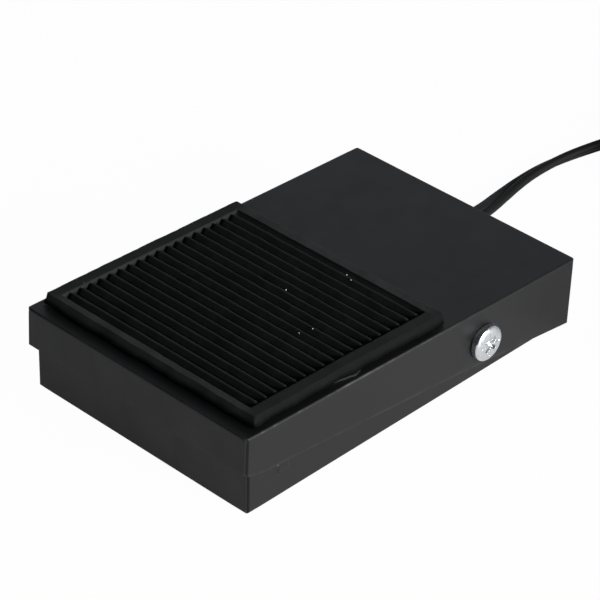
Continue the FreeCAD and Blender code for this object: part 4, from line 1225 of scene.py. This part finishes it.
def make_tape():
    shape = bmesh.new()
    tape_low, tape_high = level_box("mat_tape")
    corners = [
        Vector((tape_high.x, tape_low.y)),
        Vector((tape_high.x, tape_high.y)),
        Vector((tape_low.x, tape_high.y)),
        Vector((tape_low.x, tape_low.y)),
    ]
    outline = []
    for index, corner in enumerate(corners):
        following = corners[(index + 1) % 4]
        for step in range(TAPE_STEPS):
            spot = corner.lerp(following, step / TAPE_STEPS)
            waver = noise.noise_vector(Vector((spot.x, spot.y, 4.0)) * 0.5)
            out = float(np.interp(spot.y, *zip(*TONGUE))) if index == 0 else 0.0
            outline.append(Vector((spot.x + waver.x * TAPE_WAVER + out, spot.y + waver.y * TAPE_WAVER)))
    stack = [[Vector((spot.x, spot.y, z)) for spot in outline] for z in (tape_low.z, tape_high.z)]
    stack_of_rings(shape, stack)
    return new_piece("mat_backing", shape, LID_PLACE)


def make_lint():
    shape = bmesh.new()
    draw = random.Random(5)
    for x, y in LINT_PLACES:
        turn = Matrix.Rotation(draw.uniform(0, math.pi), 4, "Z")
        spot = Matrix.Translation((x, y, mat_high.z - RIB_DROP + LINT_SIZE * 0.3))
        stretch = Matrix.Diagonal((draw.uniform(1.0, 1.9), draw.uniform(0.6, 0.9), 0.5, 1.0))
        bmesh.ops.create_icosphere(shape, subdivisions=2, radius=LINT_SIZE, matrix=spot @ turn @ stretch)
    for vertex in shape.verts:
        vertex.co += noise.noise_vector(vertex.co * 6) * LINT_SIZE * 0.35
    return new_piece("mat_lint", shape, LID_PLACE)


mat_backing = make_tape()
mat_backing.data.materials.append(tape_foam)
lint_white = hard_plastic("lint", (0.62, 0.62, 0.60), (0.75, 0.75, 0.73), 0.7, 0.9)
mat_lint = make_lint()
mat_lint.data.materials.append(lint_white)

# %% [markdown]
# ## Turned pieces
#
# Screws, feet and every piece of the plug are round, so each is a profile turned about an axis. The
# profile is a list of radius and height. A corner in it is a sharp ring, which `soften` rounds on
# the screw's rim and on the plug, as a lathe tool or a mould would leave it.

# %% A profile turned about an axis


def turned_shape(profile, steps=48, ring=False):
    """A shape turned about its own upright axis; a ring's profile closes on itself."""
    shape = bmesh.new()
    circles = []
    for radius, height in profile:
        if radius == 0:
            circles.append([shape.verts.new((0, 0, height))] * steps)
            continue
        angles = [2 * math.pi * step / steps for step in range(steps)]
        spots = [(radius * math.cos(angle), radius * math.sin(angle), height) for angle in angles]
        circles.append([shape.verts.new(spot) for spot in spots])
    if ring:
        circles.append(circles[0])
    for circle, following in zip(circles, circles[1:]):
        for index in range(steps):
            other = (index + 1) % steps
            corners = dict.fromkeys((circle[index], circle[other], following[other], following[index]))
            if len(corners) > 2:
                shape.faces.new(list(corners))
    bmesh.ops.recalc_face_normals(shape, faces=shape.faces)
    return shape


# %% [markdown]
# A repeated piece is made once, as a pattern, and Geometry Nodes set it on points. Each point of a
# small mesh carries a `turn`, so that the left and right screws face outwards. The tree makes the
# copies real, because an export drops instances, and gives them their finish.

# %% Copies on points


def copies_tree():
    tree, given, result = new_tree(
        "Copies on points", [("Pattern", "Object"), ("Finish", "Material")]
    )
    pattern = step_in(tree, "GeometryNodeObjectInfo", {"Object": given["Pattern"]})
    turn = step_in(tree, "GeometryNodeInputNamedAttribute", {"Name": "turn"}, data_type="FLOAT_VECTOR")
    turned = step_in(tree, "FunctionNodeEulerToRotation", {"Euler": turn.outputs["Attribute"]})
    placed = step_in(
        tree,
        "GeometryNodeInstanceOnPoints",
        {
            "Points": given["Geometry"],
            "Instance": pattern.outputs["Geometry"],
            "Rotation": turned.outputs["Rotation"],
        },
    )
    real = step_in(tree, "GeometryNodeRealizeInstances", {"Geometry": placed.outputs[0]})
    finished = step_in(
        tree, "GeometryNodeSetMaterial", {"Geometry": real.outputs[0], "Material": given["Finish"]}
    )
    tree.links.new(finished.outputs[0], result[0])
    return tree


COPIES = copies_tree()


def copies(name, pattern, places, finish):
    """One piece made of copies of a pattern, each at a place in millimetres and with its turn."""
    mesh = bpy.data.meshes.new(name)
    mesh.from_pydata([Vector(place) * MM for place, turn in places], [], [])
    turns = mesh.attributes.new("turn", "FLOAT_VECTOR", "POINT")
    for index, (place, turn) in enumerate(places):
        turns.data[index].vector = turn
    piece = bpy.data.objects.new(name, mesh)
    bpy.context.scene.collection.objects.link(piece)
    grow(piece, COPIES, {"Pattern": pattern, "Finish": finish})
    bpy.data.objects.remove(pattern)
    return shade(piece)


# %% [markdown]
# The screw's head is a low pan with a rounded rim. Its cross recess has four tapered wings that meet
# in the middle, and four fine ticks lie between them. Wings and ticks are each cut with a Boolean
# modifier, from a cutter made of wedges, because that keeps the dome's own shape round them.

# %% Pivot screws
SCREW_SHANK = 2.45
SCREW_LENGTH = 8.0
SCREW_POINT = 0.5
SCREW_NECK = 0.8
THREAD_START = 0.4
THREAD_SPARED = 1.4
THREAD_PITCH = 0.8
THREAD_DEEP = 0.35
HEAD_GAP = 0.1
HEAD_RADIUS = 4.75
HEAD_RIM = 1.4
HEAD_HEIGHT = 2.4
HEAD_FLATNESS = 3.2
RIM_ROUND = 0.3
DOME_STEPS = 12
CROSS_LONG = 5.2
CROSS_WIDE = 1.05
CROSS_DEEP = 1.5
TICK_FROM = 1.5
TICK_TO = 3.5
TICK_WIDE = 0.16
TICK_DEEP = 0.16
TICK_RAISED = 0.12
TICK_TAPER = 0.1
WING_OVERLAP = 0.3
WING_TAPER = 0.35
CUTTER_ABOVE = 0.5
CROSS_TURN = math.radians(45)


def dome(share):
    """Height of the head at a share of its radius: a shallow dome above the rim."""
    return HEAD_RIM + (HEAD_HEIGHT - HEAD_RIM) * math.sqrt(max(0.0, 1 - share**HEAD_FLATNESS))


def wedge(shape, turn, start, end, width, top, bottom, taper):
    """A bar between two radii, narrower and shorter at its bottom than at its top."""
    spin = Matrix.Rotation(turn, 4, "Z")
    ring_top = [(start, -width / 2), (end, -width / 2), (end, width / 2), (start, width / 2)]
    ring_low = [(x + (start - x) * taper if x == end else x, y * (1 - taper)) for x, y in ring_top]
    low = [shape.verts.new(spin @ Vector((x, y, bottom))) for x, y in ring_low]
    high = [shape.verts.new(spin @ Vector((x, y, top))) for x, y in ring_top]
    join_rings(shape, [low, high])
    shape.faces.new(low[::-1])
    shape.faces.new(high)


def carve(piece, cutter):
    """Cuts one piece with another, which is then thrown away."""
    cut = piece.modifiers.new("Cut", "BOOLEAN")
    cut.operation = "DIFFERENCE"
    cut.solver = "EXACT"
    cut.use_self = True
    cut.object = cutter
    settle(piece)
    bpy.data.objects.remove(cutter)
    return piece


def make_screw_pattern():
    profile = [(0.0, -SCREW_LENGTH), (SCREW_SHANK - SCREW_POINT, -SCREW_LENGTH)]
    threads = int((SCREW_LENGTH - THREAD_SPARED) / THREAD_PITCH)
    for number in range(threads):
        height = -SCREW_LENGTH + THREAD_START + number * THREAD_PITCH
        profile.append((SCREW_SHANK, height))
        profile.append((SCREW_SHANK - THREAD_DEEP, height + THREAD_PITCH / 2))
    profile += [(SCREW_SHANK, -SCREW_NECK), (SCREW_SHANK, 0.0)]
    profile += [(HEAD_RADIUS, 0.0), (HEAD_RADIUS, HEAD_RIM)]
    for step in range(1, DOME_STEPS):
        share = math.cos(math.pi / 2 * step / DOME_STEPS)
        profile.append((HEAD_RADIUS * share, dome(share)))
    profile.append((0.0, HEAD_HEIGHT))
    shape = turned_shape(profile, 64)

    def at_rim(edge):
        return all(abs(vertex.co.xy.length - HEAD_RADIUS) < 1e-3 for vertex in edge.verts) and sharp(edge)

    soften(shape, RIM_ROUND, 3, at_rim)
    screw = new_piece("screw_pattern", shape)
    cross = bmesh.new()
    top = HEAD_HEIGHT + CUTTER_ABOVE
    floor = HEAD_HEIGHT - CROSS_DEEP
    for number in range(4):
        turn = CROSS_TURN + math.pi / 2 * number
        wedge(cross, turn, -WING_OVERLAP, CROSS_LONG / 2, CROSS_WIDE, top, floor, WING_TAPER)
    carve(screw, new_piece("cross_cutter", cross))
    ticks = bmesh.new()
    for number in range(4):
        turn = CROSS_TURN + math.pi / 2 * number + math.pi / 4
        low = dome(TICK_TO / HEAD_RADIUS) - TICK_DEEP
        wedge(ticks, turn, TICK_FROM, TICK_TO, TICK_WIDE, top, low + TICK_RAISED, TICK_TAPER)
    return carve(screw, new_piece("tick_cutter", ticks))


screw_y, screw_z = PIVOT.y / MM, PIVOT.z / MM
seat = lid_high.x + HEAD_GAP
pivot_screws = copies(
    "pivot_screw_pair",
    make_screw_pattern(),
    [((seat, screw_y, screw_z), (0, math.pi / 2, 0)), ((-seat, screw_y, screw_z), (0, -math.pi / 2, 0))],
    screw_zinc,
)
print("pivot_screw_pair:", len(pivot_screws.data.polygons), "faces")

# %% [markdown]
# The feet are stick-on rubber discs with a shallow round hollow in the underside. The grommet is a
# rubber collar in the tray's rear wall. Its bore would be round on a round cord, but this lead is
# flat, so the bore is an oval that the lead passes through on edge.

# %% Feet
foot_low, foot_high = box_in_mm("rubber_feet")
FOOT_RADIUS = 6.0
FOOT_HEIGHT = foot_high.z
FOOT_PROFILE = [
    (0.0, 0.22),
    (2.2, 0.22),
    (2.6, 0.0),
    (FOOT_RADIUS - 0.9, 0.0),
    (FOOT_RADIUS - 0.25, 0.14),
    (FOOT_RADIUS, 0.5),
    (FOOT_RADIUS, FOOT_HEIGHT),
    (0.0, FOOT_HEIGHT),
]
foot_places = [
    ((x, y, 0.0), (0, 0, 0))
    for x in (foot_low.x + FOOT_RADIUS, foot_high.x - FOOT_RADIUS)
    for y in (foot_low.y + FOOT_RADIUS, foot_high.y - FOOT_RADIUS)
]
foot_pattern = new_piece("foot_pattern", turned_shape(FOOT_PROFILE, 40))
foot_pads = copies("foot_pads", foot_pattern, foot_places, foot_rubber)

# %% Grommet with an oval bore
GROMMET_STEPS = 48
GROMMET_LIP = 0.35
GROMMET_PROFILE = [
    ("bore", -2.2),
    ("flange", -2.2),
    ("flange", -1.0),
    ("hub", -1.0),
    ("hub", 0.0),
    ("flange", 0.0),
    ("flange", 1.2),
    ("bore", 1.2),
]
GROMMET_HUB = 3.5
BORE_LONG = 2.42
BORE_WIDE = 1.32


def make_grommet():
    """A collar whose rings are round outside and oval inside, round the lead on edge."""
    shape = bmesh.new()
    flange = (grommet_high.x - grommet_low.x) / 2
    reaches = {
        "bore": (BORE_WIDE, BORE_LONG),
        "hub": (GROMMET_HUB, GROMMET_HUB),
        "flange": (flange, flange),
    }
    rings = []
    for kind, along in GROMMET_PROFILE:
        wide, tall = reaches[kind]
        ring = []
        for step in range(GROMMET_STEPS):
            angle = 2 * math.pi * step / GROMMET_STEPS
            ring.append(shape.verts.new((wide * math.cos(angle), along, tall * math.sin(angle))))
        rings.append(ring)
    join_rings(shape, rings + rings[:1])
    bmesh.ops.recalc_face_normals(shape, faces=shape.faces)
    soften(shape, GROMMET_LIP, 3, lambda edge: sharp(edge, math.radians(60)))
    place = Matrix.Translation(Vector((exit_place.x, tray_high.y, exit_place.z)) * MM)
    return shade(new_piece("grommet_collar", shape, place))


grommet_collar = make_grommet()
grommet_collar.data.materials.append(grommet_rubber)

# %% [markdown]
# Inside the tray the lead comes down from the grommet to its clamp, on edge all the way. It is the
# same twin section along a short spline of its own.

# %% Lead inside the tray
inner_low = box_in_mm("inner_lead")[0]
INNER_BEND = 7.0
inner_floor = inner_low.z + LEAD_WIDTH / 2
inner_wall = tray_high.y - SHEET
inner_route = [
    exit_place + INTO_GROMMET,
    Vector((exit_place.x, inner_wall - INNER_BEND * 0.5, exit_place.z)),
    Vector((exit_place.x, inner_wall - INNER_BEND * 1.5, inner_floor)),
    Vector((exit_place.x, inner_low.y, inner_floor)),
]
inner_line = smooth_line("inner_line", inner_route, 8)
inner_flex = new_piece("inner_flex", sweep(twin_section(), inner_line, [math.radians(90)] * len(inner_line)))
inner_flex.data.shade_smooth()
inner_flex.data.materials.append(lead_sheath)

# %% [markdown]
# ## Spring and contact blade
#
# The return spring is a helix: a curve whose radius is constant, and whose height rises slowly in
# its closed end turns and steadily between them. Geometry Nodes place the points by that rule.
# The contact blade in the switch is a thin strip with its middle dished.

# %% Return spring
SPRING_WIRE = 1.0
SPRING_TURNS = 7
SPRING_END_PITCH = 1.5
SPRING_STEPS = 28


def spring_tree():
    tree, given, result = new_tree(
        "Wound spring",
        [
            ("Turns", "Int"),
            ("Radius", "Float"),
            ("Height", "Float"),
            ("End Pitch", "Float"),
            ("Wire", "Float"),
            ("Steel", "Material"),
        ],
    )
    count = calculate(tree, "MULTIPLY", given["Turns"], float(SPRING_STEPS))
    line = step_in(tree, "GeometryNodeMeshLine", {"Count": calculate(tree, "ADD", count, 1.0)})
    index = step_in(tree, "GeometryNodeInputIndex").outputs[0]
    turn = calculate(tree, "DIVIDE", index, float(SPRING_STEPS))
    angle = calculate(tree, "MULTIPLY", turn, 2 * math.pi)
    inner_turns = calculate(tree, "SUBTRACT", given["Turns"], 2.0)
    ends = calculate(tree, "MULTIPLY", given["End Pitch"], 2.0)
    pitch = calculate(tree, "DIVIDE", calculate(tree, "SUBTRACT", given["Height"], ends), inner_turns)
    first_end = calculate(tree, "MULTIPLY", calculate(tree, "MINIMUM", turn, 1.0), given["End Pitch"])
    past = calculate(tree, "MAXIMUM", calculate(tree, "SUBTRACT", turn, 1.0), 0.0)
    middle = calculate(tree, "MULTIPLY", calculate(tree, "MINIMUM", past, inner_turns), pitch)
    late = calculate(tree, "MAXIMUM", calculate(tree, "SUBTRACT", past, inner_turns), 0.0)
    last_end = calculate(tree, "MULTIPLY", late, given["End Pitch"])
    height = calculate(tree, "ADD", calculate(tree, "ADD", first_end, middle), last_end)
    spot = step_in(
        tree,
        "ShaderNodeCombineXYZ",
        {
            "X": calculate(tree, "MULTIPLY", calculate(tree, "COSINE", angle), given["Radius"]),
            "Y": calculate(tree, "MULTIPLY", calculate(tree, "SINE", angle), given["Radius"]),
            "Z": height,
        },
    )
    wound = step_in(
        tree, "GeometryNodeSetPosition", {"Geometry": line.outputs[0], "Position": spot.outputs[0]}
    )
    curve_line = step_in(tree, "GeometryNodeMeshToCurve", {"Mesh": wound.outputs[0]})
    half_wire = calculate(tree, "MULTIPLY", given["Wire"], 0.5)
    section = step_in(
        tree, "GeometryNodeCurvePrimitiveCircle", {"Resolution": 12, "Radius": half_wire}
    )
    wire = step_in(
        tree,
        "GeometryNodeCurveToMesh",
        {"Curve": curve_line.outputs[0], "Profile Curve": section.outputs[0], "Fill Caps": True},
    )
    real = step_in(tree, "GeometryNodeRealizeInstances", {"Geometry": wire.outputs[0]})
    finished = step_in(
        tree, "GeometryNodeSetMaterial", {"Geometry": real.outputs[0], "Material": given["Steel"]}
    )
    tree.links.new(finished.outputs[0], result[0])
    return tree


spring_low, spring_high = box_in_mm("return_spring")
spring_radius = (spring_high.x - spring_low.x - SPRING_WIRE) / 2
return_coil = new_piece("return_coil", bmesh.new())
grow(
    return_coil,
    spring_tree(),
    {
        "Turns": SPRING_TURNS,
        "Radius": spring_radius * MM,
        "Height": (spring_high.z - spring_low.z - SPRING_WIRE) * MM,
        "End Pitch": SPRING_END_PITCH * MM,
        "Wire": SPRING_WIRE * MM,
        "Steel": spring_steel,
    },
)
spring_middle = Vector(((spring_low.x + spring_high.x) / 2, (spring_low.y + spring_high.y) / 2, 0.0))
spring_foot = Vector((0.0, 0.0, spring_low.z + SPRING_WIRE / 2))
return_coil.data.transform(Matrix.Translation((spring_middle + spring_foot) * MM))
return_coil.data.shade_smooth()
print("return_coil:", len(return_coil.data.polygons), "faces")

# %% Contact blade
BLADE_DISH = 0.25
BLADE_STEPS = 24
blade_low, blade_high = box_in_mm("switch_blade")


def make_blade():
    shape = bmesh.new()
    corners = [
        (blade_low.x, blade_low.z),
        (blade_high.x, blade_low.z),
        (blade_high.x, blade_high.z),
        (blade_low.x, blade_high.z),
    ]
    rings = []
    for step in range(BLADE_STEPS + 1):
        share = step / BLADE_STEPS
        y = blade_low.y + (blade_high.y - blade_low.y) * share
        dish = BLADE_DISH * math.sin(math.pi * share) ** 2
        rings.append([Vector((x, y, z - dish)) for x, z in corners])
    stack_of_rings(shape, rings)
    bmesh.ops.recalc_face_normals(shape, faces=shape.faces)
    return new_piece("contact_blade", shape)


contact_blade = make_blade()
contact_blade.data.materials.append(contact_bronze)

# %% [markdown]
# ## The plug
#
# The lead ends in a quarter-inch phone plug: a ribbed rubber boot that spares the lead a sharp
# bend, a moulded handle with grip rings, a plated sleeve, a black ring that keeps it from the tip,
# and the tip with its waist. All of them are turned profiles, laid on the floor along -Y.

# %% Plug
BOOT_RIBS = 6
BOOT_SLOT = 0.7
BOOT_THIN = 0.69
BOOT_CUTS = [(0.18, 0.0), (0.24, BOOT_SLOT), (0.62, BOOT_SLOT), (0.68, 0.0)]
GRIP_RINGS = 7
GRIP_PITCH = 2.2
GRIP_HALF = 0.62
GRIP_FOOT = 0.85
SLEEVE_BORE = 1.85
SPACER_BORE = 1.3
SPACER_SHANK = 1.8
SPACER_LIP = 1.2


def lay_down(name, shape, node, finish, width, steps=2):
    """Softens a turned piece, and lays it with its foot at the rear end of its node."""
    low, high = box_in_mm(node)
    soften(shape, width, steps, lambda edge: sharp(edge, math.radians(35)))
    foot = Vector(((low.x + high.x) / 2, high.y, (low.z + high.z) / 2)) * MM
    piece = new_piece(name, shape, Matrix.Translation(foot) @ Matrix.Rotation(math.pi / 2, 4, "X"))
    piece.data.materials.append(finish)
    return shade(piece)


def half_size(node):
    low, high = box_in_mm(node)
    return (high.x - low.x) / 2, high.y - low.y


def boot_profile():
    thick, length = half_size("plug_boot")
    thin = thick * BOOT_THIN
    profile = [(0.0, 0.0), (thin, 0.0)]
    pitch = (length - 4.0) / BOOT_RIBS
    for number in range(BOOT_RIBS):
        for share, cut in BOOT_CUTS:
            height = 1.0 + (number + share) * pitch
            profile.append((thin + (thick - thin) * height / length - cut, height))
    return profile + [(thick, length), (0.0, length)]


def handle_profile():
    radius, length = half_size("plug_handle")
    profile = [(0.0, 0.0), (radius * 0.74, 0.0), (radius * 0.86, 1.6), (radius * 0.9, 4.0)]
    start = (length - (GRIP_RINGS - 1) * GRIP_PITCH) / 2
    for number in range(GRIP_RINGS):
        height = start + number * GRIP_PITCH
        profile += [(radius, height - GRIP_HALF), (radius, height + GRIP_HALF)]
        if number < GRIP_RINGS - 1:
            groove = radius * 0.9
            profile += [(groove, height + GRIP_FOOT), (groove, height + GRIP_PITCH - GRIP_FOOT)]
    last = start + (GRIP_RINGS - 1) * GRIP_PITCH
    return profile + [(radius * 0.94, last + 1.4), (radius * 0.97, length), (0.0, length)]


def sleeve_profile():
    radius, length = half_size("plug_sleeve")
    shaft = half_size("plug_tip")[0]
    bore = SLEEVE_BORE
    return [(bore, 0.0), (radius, 0.0), (radius, 1.4), (shaft, 1.5), (shaft, length), (bore, length)]


def ring_profile():
    radius, length = half_size("plug_insulator")
    bore, shank, lip = SPACER_BORE, SPACER_SHANK, length - SPACER_LIP
    return [(bore, 0.0), (shank, 0.0), (shank, lip), (radius, lip), (radius, length), (bore, length)]


def tip_profile():
    radius, length = half_size("plug_tip")
    base = length - 5.2
    return [
        (0.0, 0.0),
        (1.2, 0.0),
        (1.2, base),
        (radius, base),
        (radius, base + 0.35),
        (radius * 0.74, base + 1.3),
        (radius * 0.72, base + 1.7),
        (radius * 0.98, base + 2.7),
        (radius * 0.96, base + 3.2),
        (radius * 0.7, base + 4.3),
        (radius * 0.38, length),
        (0.0, length),
    ]


plug_boot = lay_down("strain_boot", turned_shape(boot_profile()), "plug_boot", plug_moulding, 0.12)
plug_handle = lay_down("plug_grip", turned_shape(handle_profile(), 64), "plug_handle", plug_moulding, 0.18)
barrel_shape = turned_shape(sleeve_profile(), 64, True)
plug_sleeve = lay_down("plug_barrel", barrel_shape, "plug_sleeve", plug_metal, 0.12)
spacer_shape = turned_shape(ring_profile(), 64, True)
plug_spacer = lay_down("plug_spacer", spacer_shape, "plug_insulator", ring_black, 0.08)
plug_point = lay_down("plug_point", turned_shape(tip_profile(), 64), "plug_tip", plug_metal, 0.15, 3)
print("plug: boot, grip, barrel, spacer, point")

# %% [markdown]
# ## What stays as it was built
#
# The small hardware inside keeps its given shape, and only takes a finish. The switch, its bracket,
# the studs and nuts, the clamp and the two bared wires are seen only with the lid off.

# %% Finishes of the inner pieces
INNER_FINISHES = {
    "spring_cup": sheet_steel,
    "actuator_boss": sheet_steel,
    "pivot_nuts": nut_zinc,
    "switch_case": case_black,
    "switch_lid": lid_grey,
    "switch_plunger": plunger_red,
    "switch_terminals": contact_brass,
    "switch_screws": nut_zinc,
    "switch_nuts": nut_zinc,
    "switch_bracket": sheet_steel,
    "floor_studs": sheet_steel,
    "stud_nuts": nut_zinc,
    "cord_clamp": sheet_steel,
    "spring_peg": peg_nylon,
    "wire_signal": wire_red,
    "wire_common": wire_black,
}
for name, finish in INNER_FINISHES.items():
    for slot in nodes[name].material_slots:
        slot.material = finish

# %% [markdown]
# ## Floor, backdrop and light
#
# The pedal stands on a plain white floor that runs out of the picture. The floor shows nearly white
# to the camera, and paint and metal mirror that same white floor, a little more shaded by what
# stands on it. A black thing is seen mostly by what it mirrors, so the room matters more than the
# lamp: it is brightest low down and behind the pedal, and dark overhead and towards the camera.

# %% Floor
FLOOR_REACH = 3.0
FLOOR_WHITE = 0.82
FLOOR_SHOWN = 0.98
FLOOR_MIRRORED = 0.34


def make_floor():
    shape = bmesh.new()
    bmesh.ops.create_grid(shape, x_segments=1, y_segments=1, size=FLOOR_REACH / MM)
    floor = new_piece("floor", shape)
    finish = bpy.data.materials.new("floor_white")
    finish.use_nodes = True
    tree = finish.node_tree
    shader = tree.nodes["Principled BSDF"]
    shader.inputs["Base Color"].default_value = (FLOOR_WHITE, FLOOR_WHITE, FLOOR_WHITE, 1.0)
    shader.inputs["Roughness"].default_value = 0.9
    glow = step_in(tree, "ShaderNodeEmission", {"Color": (1.0, 1.0, 1.0, 1.0), "Strength": 1.0})
    ray = step_in(tree, "ShaderNodeLightPath").outputs
    straight = calculate(tree, "MAXIMUM", ray["Is Camera Ray"], ray["Is Transmission Ray"])
    seen = calculate(tree, "MULTIPLY", straight, FLOOR_SHOWN)
    mirrored = calculate(tree, "MULTIPLY", ray["Is Glossy Ray"], FLOOR_MIRRORED)
    share = calculate(tree, "MAXIMUM", seen, mirrored)
    mix = step_in(tree, "ShaderNodeMixShader", {0: share, 1: shader.outputs[0], 2: glow.outputs[0]})
    tree.links.new(mix.outputs[0], tree.nodes["Material Output"].inputs["Surface"])
    floor.data.materials.append(finish)
    return floor


make_floor()

# %% Room and lamp
ROOM_LEVEL = 0.31
ROOM_BRIGHTER_TO = (-0.345, 0.36, 0.0)
ROOM_TINT = (0.86, 0.93, 1.0, 1.0)
CEILING_FALL = 1.0
CEILING_LEAST = 0.03


def make_room():
    """A world that is brighter behind the pedal and low down, and dark overhead."""
    world = bpy.data.worlds.new("studio")
    world.use_nodes = True
    tree = world.node_tree
    towards = step_in(tree, "ShaderNodeTexCoord").outputs["Generated"]
    along = step_in(tree, "ShaderNodeVectorMath", {0: towards, 1: ROOM_BRIGHTER_TO}, operation="DOT_PRODUCT")
    level = calculate(tree, "ADD", along.outputs["Value"], ROOM_LEVEL)
    level = calculate(tree, "MAXIMUM", level, 0.0)
    upward = step_in(tree, "ShaderNodeSeparateXYZ", {"Vector": towards}).outputs["Z"]
    fallen = calculate(tree, "MULTIPLY", calculate(tree, "MAXIMUM", upward, 0.0), CEILING_FALL)
    ceiling = calculate(tree, "MAXIMUM", calculate(tree, "SUBTRACT", 1.0, fallen), CEILING_LEAST)
    background = tree.nodes["Background"]
    background.inputs["Color"].default_value = ROOM_TINT
    tree.links.new(calculate(tree, "MULTIPLY", level, ceiling), background.inputs["Strength"])
    bpy.context.scene.world = world


def add_lamp(name, place, size, power):
    """A soft square lamp that faces the pedal."""
    lamp = bpy.data.objects.new(name, bpy.data.lights.new(name, "AREA"))
    lamp.data.shape = "SQUARE"
    lamp.data.size = size
    lamp.data.energy = power
    lamp.location = place
    lamp.rotation_euler = (-Vector(place)).to_track_quat("-Z", "Y").to_euler()
    bpy.context.scene.collection.objects.link(lamp)


make_room()
add_lamp("right_lamp", (1.25, 0.08, 0.38), 0.5, 27.0)

# %% [markdown]
# ## What rides on what
#
# Each new piece rides on a body of the construction and stands for the nodes that it replaces.

# %% Bodies, replaced nodes and slots
RIDES = [
    (cover_shell, "cover", ["pedal_cover"], "cover_paint"),
    (tread_rubber, "cover", ["tread_mat"], "mat_rubber"),
    (mat_backing, "cover", ["mat_tape"], "tape"),
    (mat_lint, "cover", [], "mat_rubber"),
    (tray_shell, "base", ["base_tray"], "tray_paint"),
    (foot_pads, "base", ["rubber_feet"], "foot_rubber"),
    (pivot_screws, "base", ["pivot_screws"], "screw_zinc"),
    (grommet_collar, "base", ["cord_grommet"], "grommet_rubber"),
    (inner_flex, "base", ["inner_lead"], "lead_sheath"),
    (return_coil, "base", ["return_spring"], "spring_steel"),
    (contact_blade, "base", ["switch_blade"], "blade_bronze"),
    (lead_flex, "base", ["cord_run", "cord_coil", "cord_tail"], "lead_sheath"),
    (plug_boot, "base", ["plug_boot"], "plug_moulding"),
    (plug_handle, "base", ["plug_handle"], "plug_moulding"),
    (plug_sleeve, "base", ["plug_sleeve"], "plug_metal"),
    (plug_spacer, "base", ["plug_insulator"], "plug_ring"),
    (plug_point, "base", ["plug_tip"], "plug_metal"),
]
lead_flex.data.materials.append(lead_sheath)
for piece, body, replaced, slot in RIDES:
    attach(piece, body)
    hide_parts(*replaced)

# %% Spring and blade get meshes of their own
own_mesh(return_coil)
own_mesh(contact_blade)
